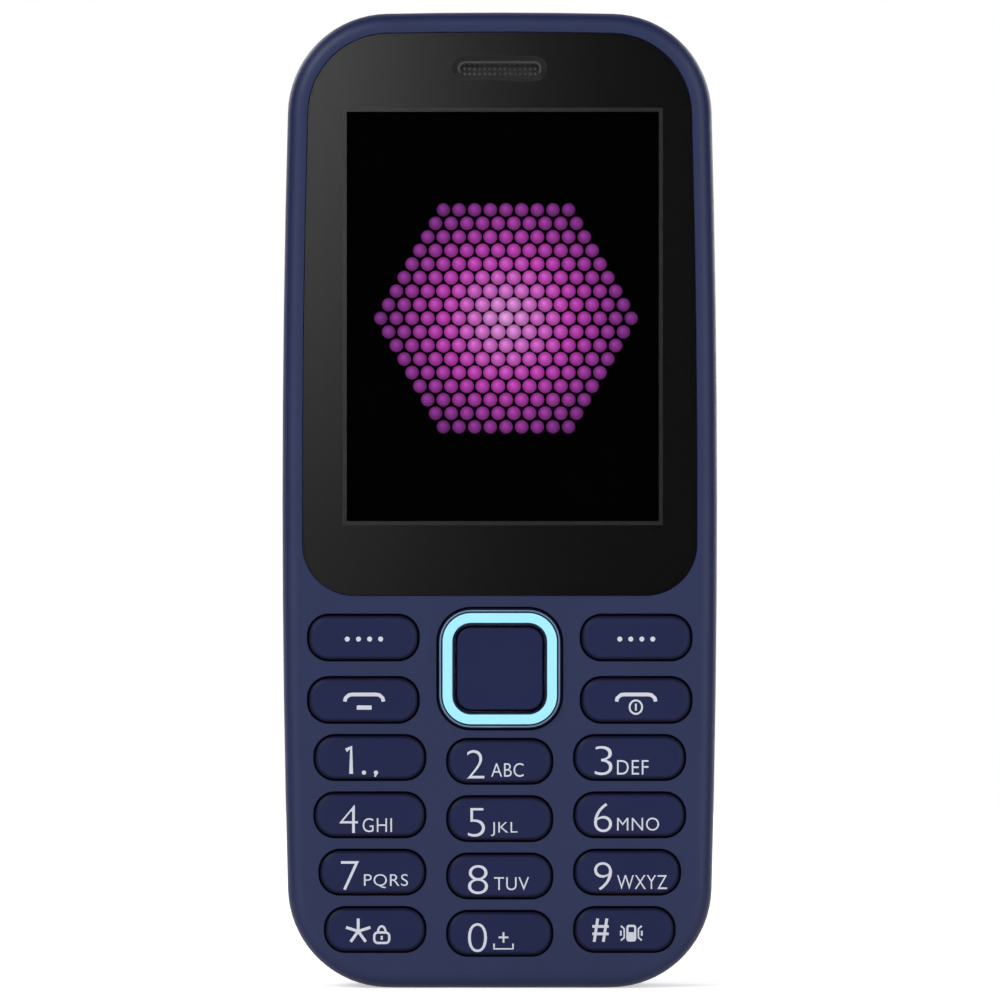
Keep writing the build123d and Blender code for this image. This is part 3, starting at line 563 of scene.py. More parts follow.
@dataclass(frozen=True)
class ClearPart(Finish):
    """A clear moulding that shows what lies behind it.

    Attributes:
        tint: its colour.
        cover: how much it hides, from 0 to 1.
        gloss: its lowest roughness.
        wipe: how much rougher its smears are.
        shine: how strong its gloss is.
        smear: the pattern of the smears.
        smear_depth: depth of the smears in millimetres.
        smear_strength: how much of that depth shows.
        dust: the pattern of the dust.
        dust_cover: how much of the dust's colour shows at most.
        dust_tint: how far the dust's white is drawn towards the tint.
    """

    tint: Colour
    cover: float
    gloss: float = 0.03
    wipe: float = 0.02
    shine: float = 0.5
    smear: Cloud = Cloud(16.0, 5.0, (1.0, 1.0, 2.5))
    smear_depth: float = 0.001
    smear_strength: float = 0.2
    dust: Cloud = Cloud(0.5, 1.0)
    dust_cover: float = 0.1
    dust_tint: float = 0.7

    def sockets(self, sheet: Sheet) -> Sockets:
        """Adds the smears and the dust.

        Args:
            sheet: the material's sheet.

        Returns:
            The shader's inputs.
        """
        smear = sheet.noise(self.smear)
        dust = sheet.ranged(sheet.noise(self.dust), high=self.dust_cover)
        return {
            "Base Color": sheet.tinted(dust, self.tint, WHITE.towards(self.tint, self.dust_tint)),
            "Alpha": self.cover,
            "Roughness": sheet.ranged(smear, self.gloss, self.gloss + self.wipe),
            "Specular IOR Level": self.shine,
            "Normal": sheet.bumped(smear, self.smear_depth, self.smear_strength),
        }


@dataclass(frozen=True)
class GlossPrint(Finish):
    """A smooth printed or glassy face whose gloss shows the room softly.

    Attributes:
        colour: its colour.
        shade: the colour of its faint blotches.
        gloss: its lowest roughness.
        shine: how strong its gloss is.
        cloud: the pattern of the blotches.
        specks: the pattern of its roughness.
        speck_share: its highest roughness, as a share of the lowest.
        relief: depth of its waviness in millimetres.
        relief_strength: how much of that depth shows.
    """

    colour: Colour
    shade: Colour
    gloss: float
    shine: float
    cloud: Cloud = Cloud(22.0, 3.0)
    specks: Cloud = Cloud(0.3, 1.0)
    speck_share: float = 1.35
    relief: float = 0.002
    relief_strength: float = 0.2

    def sockets(self, sheet: Sheet) -> Sockets:
        """Adds the blotches and the specks.

        Args:
            sheet: the material's sheet.

        Returns:
            The shader's inputs.
        """
        cloud = sheet.noise(self.cloud)
        specks = sheet.noise(self.specks)
        return {
            "Base Color": sheet.tinted(sheet.ranged(cloud), self.colour, self.shade),
            "Roughness": sheet.ranged(specks, self.gloss, self.gloss * self.speck_share),
            "Specular IOR Level": self.shine,
            "Normal": sheet.bumped(cloud, self.relief, self.relief_strength),
        }


@dataclass(frozen=True)
class Laminate(Finish):
    """Circuit-board laminate with a solder mask, copper runs under it and plated holes.

    Attributes:
        mask: the solder mask's colour.
        run: the mask's colour over copper.
        pad: the colour of the plated holes.
        pitch: from one copper run to the next, in millimetres.
        run_width: width of a run, in pitches.
        run_edge: how soft its edge is.
        run_length: length of a straight run, in pitches.
        run_height: height of a row of runs, in pitches.
        patch: the pattern of the places that have runs.
        patch_start: the level of that pattern from which runs show.
        patch_end: the level at which they show fully.
        hole_pitch: from one hole to the next, in pitches.
        hole_size: a hole's radius, as a share of that.
        weave: the pattern of the glass cloth.
        smoothest: its lowest roughness.
        roughest: its highest roughness.
        relief: height of the runs in millimetres.
    """

    mask: Colour
    run: Colour
    pad: Colour
    pitch: float = 0.9
    run_width: float = 0.07
    run_edge: float = 0.1
    run_length: float = 3.1
    run_height: float = 0.9
    patch: Cloud = Cloud(7.0, 0.0)
    patch_start: float = 0.49
    patch_end: float = 0.53
    hole_pitch: float = 2.6
    hole_size: float = 0.11
    weave: Cloud = Cloud(0.25, 1.0)
    smoothest: float = 0.32
    roughest: float = 0.48
    relief: float = 0.01

    def sockets(self, sheet: Sheet) -> Sockets:
        """Adds the runs, the holes and the weave.

        Args:
            sheet: the material's sheet.

        Returns:
            The shader's inputs.
        """
        flat = sheet.place(turn=(QUARTER_TURN, 0.0, 0.0))
        bare, copper = (0.0, 0.0, 0.0, 1.0), (1.0, 1.0, 1.0, 1.0)
        bricks = {
            "Vector": flat,
            "Color1": bare,
            "Color2": bare,
            "Mortar": copper,
            "Scale": 1.0 / (self.pitch * MM),
            "Mortar Size": self.run_width,
            "Mortar Smooth": self.run_edge,
            "Brick Width": self.run_length,
            "Row Height": self.run_height,
        }
        lines = sheet.add("ShaderNodeTexBrick", bricks).outputs["Fac"]
        cells = {"Vector": flat, "Scale": 1.0 / (self.hole_pitch * self.pitch * MM)}
        nearest = sheet.add("ShaderNodeTexVoronoi", cells).outputs["Distance"]
        hole = sheet.maths("LESS_THAN", nearest, self.hole_size)
        patch = sheet.ranged(sheet.noise(self.patch), start=self.patch_start, end=self.patch_end)
        runs = sheet.maths("MULTIPLY", lines, patch)
        weave = sheet.noise(self.weave)
        return {
            "Base Color": sheet.tinted(hole, sheet.tinted(runs, self.mask, self.run), self.pad),
            "Metallic": hole,
            "Roughness": sheet.ranged(weave, self.smoothest, self.roughest),
            "Normal": sheet.bumped(sheet.total(runs, hole, weave), self.relief),
        }


@dataclass(frozen=True)
class Woven(Finish):
    """A fine wire or fibre mesh.

    Attributes:
        colour: the wires' colour.
        gap: the colour between them.
        pitch: from one wire to the next, in millimetres.
        metal: how metallic it is, from 0 to 1.
        shine: how strong its gloss is.
        wire_start: the level of the weave at which a wire begins.
        wire_end: the level from which it has its full colour.
        dust: the pattern of its roughness.
        smoothest: its lowest roughness.
        roughest: its highest roughness.
        relief: depth of the weave in millimetres.
    """

    colour: Colour
    gap: Colour
    pitch: float = 0.22
    metal: float = 0.8
    shine: float = 0.3
    wire_start: float = 0.45
    wire_end: float = 0.8
    dust: Cloud = Cloud(1.6, 3.0)
    smoothest: float = 0.35
    roughest: float = 0.55
    relief: float = 0.05

    def sockets(self, sheet: Sheet) -> Sockets:
        """Adds the two runs of wires and the dust.

        Args:
            sheet: the material's sheet.

        Returns:
            The shader's inputs.
        """
        wires = [sheet.bands(self.pitch, axis) for axis in (Axis.ACROSS, Axis.UP)]
        cloth = sheet.maths("MAXIMUM", *wires)
        wire = sheet.ranged(cloth, start=self.wire_start, end=self.wire_end)
        dust = sheet.noise(self.dust)
        return {
            "Base Color": sheet.tinted(wire, self.gap, self.colour),
            "Metallic": self.metal,
            "Specular IOR Level": self.shine,
            "Roughness": sheet.ranged(dust, self.smoothest, self.roughest),
            "Normal": sheet.bumped(cloth, self.relief),
        }


@dataclass(frozen=True)
class Flex(Finish):
    """A thin film that carries parallel copper runs.

    Attributes:
        film: the film's colour.
        run: the colour over a run.
        pitch: from one run to the next, in millimetres.
        run_start: the level of the stripes at which a run begins.
        run_end: the level from which it has its full colour.
        crease: the pattern of the creases.
        smoothest: its lowest roughness.
        roughest: its highest roughness.
        relief: height of the runs in millimetres.
    """

    film: Colour
    run: Colour
    pitch: float = 0.8
    run_start: float = 0.55
    run_end: float = 0.7
    crease: Cloud = Cloud(2.4, 3.0)
    smoothest: float = 0.25
    roughest: float = 0.45
    relief: float = 0.008

    def sockets(self, sheet: Sheet) -> Sockets:
        """Adds the runs and the creases.

        Args:
            sheet: the material's sheet.

        Returns:
            The shader's inputs.
        """
        stripes = sheet.bands(self.pitch, Axis.ACROSS)
        runs = sheet.ranged(stripes, start=self.run_start, end=self.run_end)
        crease = sheet.noise(self.crease)
        return {
            "Base Color": sheet.tinted(runs, self.film, self.run),
            "Roughness": sheet.ranged(crease, self.smoothest, self.roughest),
            "Normal": sheet.bumped(sheet.total(runs, crease), self.relief),
        }


@dataclass(frozen=True)
class BatteryWrap(Finish):
    """A printed sleeve with two plain bands and no words.

    Attributes:
        sleeve: its colour.
        band: the bands' colour.
        low_band: where the lower band starts, in millimetres above the phone's foot.
        high_band: where the upper band starts.
        band_height: height of a band.
        cloud: the pattern of its blotches.
        shade_share: how far the blotches are drawn towards black.
        smoothest: its lowest roughness.
        roughest: its highest roughness.
        relief: depth of its waviness in millimetres.
    """

    sleeve: Colour
    band: Colour
    low_band: float = 19.0
    high_band: float = 55.0
    band_height: float = 3.0
    cloud: Cloud = Cloud(5.0, 4.0)
    shade_share: float = 0.12
    smoothest: float = 0.34
    roughest: float = 0.5
    relief: float = 0.02

    def sockets(self, sheet: Sheet) -> Sockets:
        """Adds the bands and the blotches.

        Args:
            sheet: the material's sheet.

        Returns:
            The shader's inputs.
        """
        rising = sheet.along(Axis.UP)
        bands = []
        for start in (self.low_band, self.high_band):
            above = sheet.maths("GREATER_THAN", rising, start * MM)
            below = sheet.maths("LESS_THAN", rising, (start + self.band_height) * MM)
            bands.append(sheet.maths("MULTIPLY", above, below))
        cloud = sheet.noise(self.cloud)
        shade = self.sleeve.towards(BLACK, self.shade_share)
        sleeve = sheet.tinted(sheet.ranged(cloud), self.sleeve, shade)
        return {
            "Base Color": sheet.tinted(sheet.total(*bands), sleeve, self.band),
            "Roughness": sheet.ranged(cloud, self.smoothest, self.roughest),
            "Normal": sheet.bumped(cloud, self.relief),
        }


@dataclass(frozen=True)
class LitPicture(Finish):
    """The glowing colours of the display's beads, read from the beads' own attribute.

    Attributes:
        strength: how brightly they glow.
        dots: the pattern of the screen's dots.
        dot_cover: how much the dots darken the colours at most.
        smoothest: its lowest roughness.
        roughest: its highest roughness.
        shine: how strong its gloss is.
    """

    strength: float = 1.0
    dots: Cloud = Cloud(0.18, 1.0)
    dot_cover: float = 0.12
    smoothest: float = 0.45
    roughest: float = 0.6
    shine: float = 0.1

    def sockets(self, sheet: Sheet) -> Sockets:
        """Adds the beads' colours and the screen's dots.

        Args:
            sheet: the material's sheet.

        Returns:
            The shader's inputs.
        """
        painted = sheet.add("ShaderNodeAttribute", attribute_name=GLOW_LAYER).outputs["Color"]
        dots = sheet.noise(self.dots)
        return {
            "Base Color": BLACK.light(),
            "Emission Color": sheet.tinted(sheet.ranged(dots, high=self.dot_cover), painted, BLACK),
            "Emission Strength": self.strength,
            "Roughness": sheet.ranged(dots, self.smoothest, self.roughest),
            "Specular IOR Level": self.shine,
        }


@dataclass(frozen=True)
class FloorPaper(Finish):
    """The studio's pale paper, which looks white and keeps the phone's shadow.

    Attributes:
        level: how much light of its own the backdrop rays see.
        colour: its colour.
        shade: the colour of its fibres.
        fibre: the pattern of the fibres.
        roughness: how dull it is.
        relief: depth of the fibres in millimetres.
    """

    level: float
    colour: Colour = Colour(231, 231, 232)
    shade: Colour = Colour(229, 229, 230)
    fibre: Cloud = Cloud(4.0, 4.0)
    roughness: float = 0.9
    relief: float = 0.01

    def sockets(self, sheet: Sheet) -> Sockets:
        """Adds the fibres and the light that only backdrop rays see.

        Args:
            sheet: the material's sheet.

        Returns:
            The shader's inputs.
        """
        fibre = sheet.noise(self.fibre)
        return {
            "Base Color": sheet.tinted(fibre, self.colour, self.shade),
            "Roughness": self.roughness,
            "Specular IOR Level": 0.0,
            "Emission Color": WHITE.light(),
            "Emission Strength": sheet.maths("MULTIPLY", sheet.backdrop(), self.level),
            "Normal": sheet.bumped(fibre, self.relief),
        }


NAVY_BODY = Colour(38, 46, 80)
# Painted shade: the darker navy of the housing's sloping sides, which the cover takes as its whole colour.
NAVY_PAINTED_SHADE = Colour(22, 29, 68)
NAVY_KEYS = Colour(31, 37, 72)
# Painted shade: the dark navy round each key's falling edge.
NAVY_KEY_EDGE_SHADE = Colour(9, 12, 38)
INK = Colour(202, 205, 216)

CARRIED_FINISHES: dict[Slot, Finish] = {
    Slot.HOUSING: Moulding(
        NAVY_BODY,
        Colour(36, 44, 77),
        0.40,
        0.48,
        relief=0.003,
        shine=0.2,
        # Painted shade: the housing's sides turn darker navy as they slope back.
        edge=DepthShade(NAVY_PAINTED_SHADE, -6.40, -5.95),
    ),
    # The cover's colour is the painted shade's navy, so that its sides match the housing's painted shade.
    Slot.COVER: Moulding(NAVY_PAINTED_SHADE, Colour(20, 27, 65), 0.42, 0.52, grain=0.24, relief=0.008, shine=0.2),
    Slot.KEYS: Moulding(
        NAVY_KEYS,
        Colour(30, 35, 69),
        0.36,
        0.44,
        relief=0.002,
        shine=0.1,
        # Painted shade: each cap's falling edge turns dark navy, standing in for the shade in the gap round
        # it.
        edge=DepthShade(NAVY_KEY_EDGE_SHADE, -6.85, -6.78),
    ),
    # Painted light: the cyan band glows a little so that it looks brighter than the lamps make it.
    Slot.BAND: Moulding(Colour(162, 234, 248), Colour(157, 229, 247), 0.30, 0.38, glow=0.04, relief=0.001),
    Slot.LENS: ClearPart(Colour(6, 6, 7), cover=0.02, shine=0.0),
    Slot.BORDER: GlossPrint(Colour(5, 5, 5), Colour(4, 4, 5), gloss=0.07, shine=0.5),
    Slot.DISPLAY: GlossPrint(Colour(1, 1, 1), Colour(2, 2, 2), gloss=0.35, shine=0.0),
    Slot.LIGHT_GUIDE: Moulding(Colour(226, 232, 236), Colour(214, 222, 228), 0.25, 0.35, relief=0.001),
    Slot.STEEL: Brushed(Colour(188, 190, 194), Colour(170, 172, 178)),
    Slot.DOMES: Brushed(Colour(206, 207, 208), Colour(190, 190, 194), 0.15, 0.28, line=0.05, length=4.0),
    Slot.MESH: Woven(Colour(13, 13, 14), Colour(3, 3, 3), metal=0.0),
    Slot.BOARD: Laminate(Colour(18, 74, 46), Colour(42, 112, 66), Colour(212, 176, 96)),
    Slot.CHIPS: Moulding(
        Colour(30, 31, 34), Colour(24, 25, 27), 0.5, 0.65, grain=0.1, relief=0.006, blotch=2.0
    ),
    Slot.SILICONE: Moulding(Colour(206, 210, 214), Colour(194, 199, 205), 0.5, 0.62, depth_light=0.2),
    Slot.FILM: Moulding(Colour(222, 226, 224), Colour(208, 214, 214), 0.18, 0.3, blotch=4.0, relief=0.001),
    Slot.FLEX: Flex(Colour(178, 104, 28), Colour(206, 138, 60)),
    Slot.BLACK: Moulding(Colour(24, 25, 28), Colour(20, 21, 23), 0.42, 0.55, relief=0.005, blotch=3.0),
    Slot.BOOT: Moulding(
        Colour(34, 35, 38), Colour(28, 29, 31), 0.65, 0.8, grain=0.3, relief=0.01, blotch=3.0
    ),
    Slot.GOLD: Brushed(Colour(232, 190, 98), Colour(218, 172, 84), 0.2, 0.32, line=0.04, length=6.0),
    Slot.ANTENNA: Brushed(Colour(205, 128, 84), Colour(188, 112, 74), 0.28, 0.42),
    Slot.SCREWS: Brushed(Colour(66, 67, 72), Colour(50, 51, 56), 0.3, 0.42, line=0.04, length=3.0),
    Slot.BATTERY: BatteryWrap(Colour(44, 46, 52), Colour(104, 164, 190)),
    Slot.TORCH: ClearPart(Colour(210, 216, 222), cover=0.25, gloss=0.1),
    Slot.LAMP: Moulding(Colour(236, 214, 96), Colour(228, 202, 84), 0.35, 0.45, blotch=1.0, relief=0.001),
    Slot.CAMERA: ClearPart(Colour(8, 8, 12), cover=0.22),
    Slot.SPEAKER: Moulding(
        Colour(58, 58, 60), Colour(44, 44, 47), 0.7, 0.85, grain=0.4, relief=0.03, blotch=2.0
    ),
}

# Painted light: the legend ink glows a little.
INK_FINISH = Moulding(INK, Colour(195, 198, 209), 0.42, 0.5, grain=0.1, relief=0.001, glow=0.03)
# Painted highlight: the pale lip stands in for the highlight on the earpiece slot's upper edge.
LIP_HIGHLIGHT_FINISH = Moulding(Colour(74, 74, 76), Colour(66, 66, 68), 0.3, 0.4, relief=0.001, blotch=2.0, shine=0.3)
KEYLINE_FINISH = GlossPrint(Colour(38, 38, 39), Colour(34, 34, 35), gloss=0.1, shine=0.4)
# Painted highlight: the pale line stands in for the light on the navigation ring's outer bevel.
HAIRLINE_HIGHLIGHT_FINISH = Moulding(Colour(104, 134, 164), Colour(80, 106, 134), 0.35, 0.42, relief=0.001, blotch=6.0)
IRIS_FINISH = GlossPrint(Colour(14, 16, 34), Colour(24, 18, 44), gloss=0.05, shine=0.8)
RIM_FINISH = Brushed(Colour(150, 154, 162), Colour(136, 140, 150), 0.24, 0.34, line=0.05, length=3.0)


@dataclass
class Palette:
    """Makes each finish once and hands the material out by name."""

    made: dict[str, bpy.types.Material] = field(default_factory=dict)

    def material(self, name: str, finish: Finish) -> bpy.types.Material:
        """Hands out a material.

        Args:
            name: the material's name in this palette.
            finish: what it is made from at its first use.

        Returns:
            The material.
        """
        if name not in self.made:
            self.made[name] = finish.make(name + "_finish")
        return self.made[name]

    def carried(self, slot: Slot) -> bpy.types.Material:
        """The material of one of the record's slots."""
        return self.material(slot.value, CARRIED_FINISHES[slot])


PALETTE = Palette()


def settle(
    name: str,
    mesh_work: bmesh.types.BMesh,
    material: bpy.types.Material,
    body: str,
    faces_known: bool = False,
) -> bpy.types.Object:
    """Turns a finished bmesh into a piece that rides on a body.

    Args:
        name: the piece's name.
        mesh_work: the mesh, which is freed here.
        material: its finish.
        body: the body that carries it.
        faces_known: whether its faces already point outwards.

    Returns:
        The new object.
    """
    if not faces_known:
        bmesh.ops.recalc_face_normals(mesh_work, faces=mesh_work.faces)
    mesh = bpy.data.meshes.new(name)
    mesh_work.to_mesh(mesh)
    mesh_work.free()
    mesh.shade_smooth()
    mesh.set_sharp_from_angle(angle=SHARP_ANGLE)
    piece = bpy.data.objects.new(name, mesh)
    bpy.context.scene.collection.objects.link(piece)
    mesh.materials.append(material)
    even = piece.modifiers.new("even_shading", "WEIGHTED_NORMAL")
    even.keep_sharp = True
    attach(piece, body)
    LOG.info("piece %s: %d faces on %s", name, len(mesh.polygons), body)
    return piece


def standing(x: float, y: float, z: float, facing: Facing) -> Matrix:
    """The move that stands a shape drawn flat, top up, on the phone.

    Args:
        x: its place across the phone, in millimetres.
        y: its depth coordinate.
        z: its height.
        facing: which way it looks.

    Returns:
        The move.
    """
    return Matrix.Translation(Vector((x, y, z)) * MM) @ Matrix.Rotation(facing.value, 4, "X")


def pour(source: bmesh.types.BMesh, target: bmesh.types.BMesh) -> None:
    """Adds one mesh to another.

    Args:
        source: the mesh that is added, which is freed here.
        target: the mesh that gets it.
    """
    carrier = bpy.data.meshes.new("carrier")
    source.to_mesh(carrier)
    source.free()
    target.from_mesh(carrier)
    bpy.data.meshes.remove(carrier)


def flat_sheet(width: float, height: float, unit: float = MM) -> bmesh.types.BMesh:
    """Makes one flat rectangular face around the origin.

    Args:
        width: its width in units.
        height: its height in units.
        unit: the unit in metres.

    Returns:
        The mesh that holds it.
    """
    work = bmesh.new()
    bmesh.ops.create_grid(work, x_segments=1, y_segments=1, size=HALF * unit)
    bmesh.ops.scale(work, vec=(width, height, 1.0), verts=work.verts)
    return work


def raise_faces(work: bmesh.types.BMesh, rise: float) -> list[bmesh.types.BMFace]:
    """Gives flat faces a thickness.

    Args:
        work: a mesh that holds only flat faces.
        rise: how far they are raised, in millimetres.

    Returns:
        The raised faces.
    """
    made = bmesh.ops.extrude_face_region(work, geom=work.faces[:], use_keep_orig=True)["geom"]
    moved = [item for item in made if isinstance(item, bmesh.types.BMVert)]
    bmesh.ops.translate(work, vec=(0.0, 0.0, rise * MM), verts=moved)
    return [item for item in made if isinstance(item, bmesh.types.BMFace)]


def hollow_out(flat: bmesh.types.BMesh, width: float, thick: float) -> None:
    """Turns a flat face into a standing frame.

    Args:
        flat: a mesh that holds one flat face.
        width: how wide the frame's sides are, in millimetres.
        thick: how far the frame is raised, in millimetres.
    """
    middle = flat.faces[:]
    bmesh.ops.inset_region(
        flat,
        faces=middle,
        thickness=width * MM,
        use_even_offset=True,
        use_boundary=True,
    )
    bmesh.ops.delete(flat, geom=middle, context="FACES")
    raise_faces(flat, thick)


def flat_ring(radius: float, width: float, thick: float, sides: int) -> bmesh.types.BMesh:
    """Makes a flat ring around the origin.

    Args:
        radius: its outer radius, in millimetres.
        width: how wide it is from its rim to its hole.
        thick: how far it is raised.
        sides: how many straight runs its round has.

    Returns:
        The mesh that holds it.
    """
    work = bmesh.new()
    bmesh.ops.create_circle(work, cap_ends=True, segments=sides, radius=radius * MM)
    hollow_out(work, width, thick)
    return work


def rounded_path(
    centre: Point,
    width: float,
    height: float,
    corner: float,
    steps: int = 8,
) -> list[Point]:
    """The points of a rectangle with rounded corners, anticlockwise.

    Args:
        centre: its middle, across and up.
        width: its whole width.
        height: its whole height.
        corner: radius of its corners.
        steps: how many runs each corner has.

    Returns:
        The points, across and up.
    """
    points = []
    for quarter, (side, end) in enumerate(((1, 1), (-1, 1), (-1, -1), (1, -1))):
        across = side * (width / 2.0 - corner)
        up = end * (height / 2.0 - corner)
        for step in range(steps + 1):
            turn = QUARTER_TURN * (quarter + step / steps)
            round_x, round_z = corner * math.cos(turn), corner * math.sin(turn)
            points.append((centre[0] + across + round_x, centre[1] + up + round_z))
    return points


@dataclass
class RoundedBlock:
    """A block with rounded corners and, if it has one, a crown that falls towards its edge.

    Attributes:
        width: its width in millimetres, as all its sizes are.
        height: its height.
        corner: radius of its corners.
        depth: how thick it is, with its crown.
        crown_width: how wide the crown's fall is, seen from the front.
        crown_drop: how deep it falls.
        corner_steps: how many runs each corner has.
        crown_steps: how many runs the fall has.
    """

    width: float
    height: float
    corner: float
    depth: float
    crown_width: float = 0.0
    crown_drop: float = 0.0
    corner_steps: int = 10
    crown_steps: int = 6

    def add_to(self, mesh_work: bmesh.types.BMesh, x: float, back: float, z: float) -> None:
        """Builds the block and stands it up.

        Args:
            mesh_work: the mesh that gets it.
            x: its middle across the phone.
            back: the depth coordinate of its back, from which it reaches forward.
            z: its middle up the phone.
        """
        block = flat_sheet(self.width, self.height)
        bmesh.ops.bevel(
            block,
            geom=block.verts[:],
            affect="VERTICES",
            offset=self.corner * MM,
            segments=self.corner_steps,
            profile=0.5,
            material=-1,
        )
        front = raise_faces(block, self.depth - self.crown_drop)
        for step in range(self.crown_steps if self.crown_width > 0.0 else 0):
            here = QUARTER_TURN * step / self.crown_steps
            there = QUARTER_TURN * (step + 1) / self.crown_steps
            bmesh.ops.inset_region(
                block,
                faces=front,
                thickness=self.crown_width * (math.cos(here) - math.cos(there)) * MM,
                depth=self.crown_drop * (math.sin(there) - math.sin(here)) * MM,
                use_even_offset=True,
            )
        bmesh.ops.recalc_face_normals(block, faces=block.faces)
        block.transform(standing(x, back, z, Facing.FRONT))
        pour(block, mesh_work)


@dataclass(frozen=True)
class Letters:
    """Letters that fill a box.

    Attributes:
        text: what is printed.
        low: the box's lower left corner, across and up.
        high: its upper right corner.
    """

    text: str
    low: Point
    high: Point


@dataclass
class Pen:
    """Draws raised ink in a flat sheet: round strokes, dots and letters, in millimetres.

    Attributes:
        weight: width of a stroke.
        rise: how far the ink stands above what it is printed on.
        roundness: how round a stroke's section is, as Blender counts it.
        dot_sides: how many sides a dot has.
        dot_taper: width of a dot's top, as a share of its foot.
        letter_steps: how many runs each bend of a letter has.
        letter_spacing: how far letters stand apart, where 1 is the font's own.
        ink: the drawing.
    """

    weight: float
    rise: float = 0.012
    roundness: int = 2
    dot_sides: int = 20
    dot_taper: float = 0.92
    letter_steps: int = 5
    letter_spacing: float = 1.06
    ink: bmesh.types.BMesh = field(default_factory=bmesh.new)

    def meshed(self, curve: bpy.types.Curve) -> bpy.types.Mesh:
        """Makes a curve a mesh.

        Args:
            curve: the curve, which is removed here.

        Returns:
            The mesh.
        """
        holder = bpy.data.objects.new("pen_holder", curve)
        mesh = bpy.data.meshes.new_from_object(holder)
        bpy.data.objects.remove(holder)
        bpy.data.curves.remove(curve)
        return mesh

    def take(self, mesh: bpy.types.Mesh, place: Matrix) -> None:
        """Adds a mesh to the drawing.

        Args:
            mesh: the mesh, which is removed here.
            place: the move that brings it to its place.
        """
        mesh.transform(place)
        self.ink.from_mesh(mesh)
        bpy.data.meshes.remove(mesh)

    def line(self, points: Sequence[Point], weight: float | None = None, closed: bool = False) -> None:
        """Draws a stroke through points.

        Args:
            points: the places it goes through, across and up.
            weight: its width, if it isn't the pen's own.
            closed: whether it returns to its start.
        """
        width = weight or self.weight
        curve = bpy.data.curves.new("stroke", "CURVE")
        curve.dimensions = "3D"
        curve.bevel_depth = width / 2.0
        curve.bevel_resolution = self.roundness
        curve.use_fill_caps = True
        path = curve.splines.new("POLY")
        path.points.add(len(points) - 1)
        for held, (across, up) in zip(path.points, points):
            held.co = (across, up, 0.0, 1.0)
        path.use_cyclic_u = closed
        flatten = Matrix.Diagonal((1.0, 1.0, 2.0 * self.rise / width, 1.0))
        self.take(self.meshed(curve), flatten)

    def arc(
        self,
        centre: Point,
        radii: Point,
        start: float,
        end: float,
        weight: float | None = None,
        steps: int = 14,
    ) -> None:
        """Draws part of an ellipse, or all of it, anticlockwise.

        Args:
            centre: its middle, across and up.
            radii: its radii, across and up.
            start: the angle at which it starts, in degrees.
            end: the angle at which it ends.
            weight: its width, if it isn't the pen's own.
            steps: how many runs it has.
        """
        whole = abs(end - start) >= FULL_CIRCLE
        turns = [math.radians(start + (end - start) * step / steps) for step in range(steps + 1)]
        points = [
            (centre[0] + radii[0] * math.cos(turn), centre[1] + radii[1] * math.sin(turn))
            for turn in (turns[:-1] if whole else turns)
        ]
        self.line(points, weight, closed=whole)

    def dot(self, centre: Point, diameter: float) -> None:
        """Draws a filled round dot.

        Args:
            centre: its middle, across and up.
            diameter: its width.
        """
        bmesh.ops.create_cone(
            self.ink,
            cap_ends=True,
            cap_tris=False,
            segments=self.dot_sides,
            radius1=diameter / 2.0,
            radius2=diameter / 2.0 * self.dot_taper,
            depth=2.0 * self.rise,
            matrix=Matrix.Translation((*centre, 0.0)),
        )

    def bar(self, low: Point, high: Point) -> None:
        """Draws a filled upright rectangle.

        Args:
            low: its lower left corner, across and up.
            high: its upper right corner.
        """
        middle = Matrix.Translation(((low[0] + high[0]) / 2.0, (low[1] + high[1]) / 2.0, 0.0))
        sizes = Matrix.Diagonal((high[0] - low[0], high[1] - low[1], 2.0 * self.rise, 1.0))
        bmesh.ops.create_cube(self.ink, size=1.0, matrix=middle @ sizes)

    def words(self, letters: Letters, thinner: float) -> None:
        """Prints letters so that they fill their box.

        Args:
            letters: the letters and their box.
            thinner: how much their outlines are drawn in, as a share of their size.
        """
        low, high = letters.low, letters.high
        curve = bpy.data.curves.new("letters", "FONT")
        curve.body = letters.text
        curve.resolution_u = self.letter_steps
        curve.offset = -thinner
        curve.extrude = HALF
        curve.space_character = self.letter_spacing
        mesh = self.meshed(curve)
        across = [vert.co.x for vert in mesh.vertices]
        up = [vert.co.y for vert in mesh.vertices]
        scale_x = (high[0] - low[0]) / (max(across) - min(across))
        scale_y = (high[1] - low[1]) / (max(up) - min(up))
        fit = Matrix.Diagonal((scale_x, scale_y, 2.0 * self.rise, 1.0))
        shift = Matrix.Translation((low[0] - min(across) * scale_x, low[1] - min(up) * scale_y, 0.0))
        self.take(mesh, shift @ fit)

    def finish(
        self,
        name: str,
        front: float,
        body: str,
        material: bpy.types.Material,
    ) -> bpy.types.Object:
        """Lays the drawing on a front face and makes it a piece.

        Args:
            name: the piece's name.
            front: depth coordinate of the face that carries it, in millimetres.
            body: the body that carries it.
            material: its finish.

        Returns:
            The new object.
        """
        self.ink.transform(standing(0.0, front, 0.0, Facing.FRONT) @ Matrix.Scale(MM, 4))
        return settle(name, self.ink, material, body, faces_known=True)


@dataclass(frozen=True)
class Legend:
    """What one key shows.

    Attributes:
        digit: its large figure, if it has one in letters.
        letters: its small letters, if it has any.
        sketch: its sign in strokes, if it has one.
    """

    digit: Letters | None = None
    letters: Letters | None = None
    sketch: Sketch | None = None


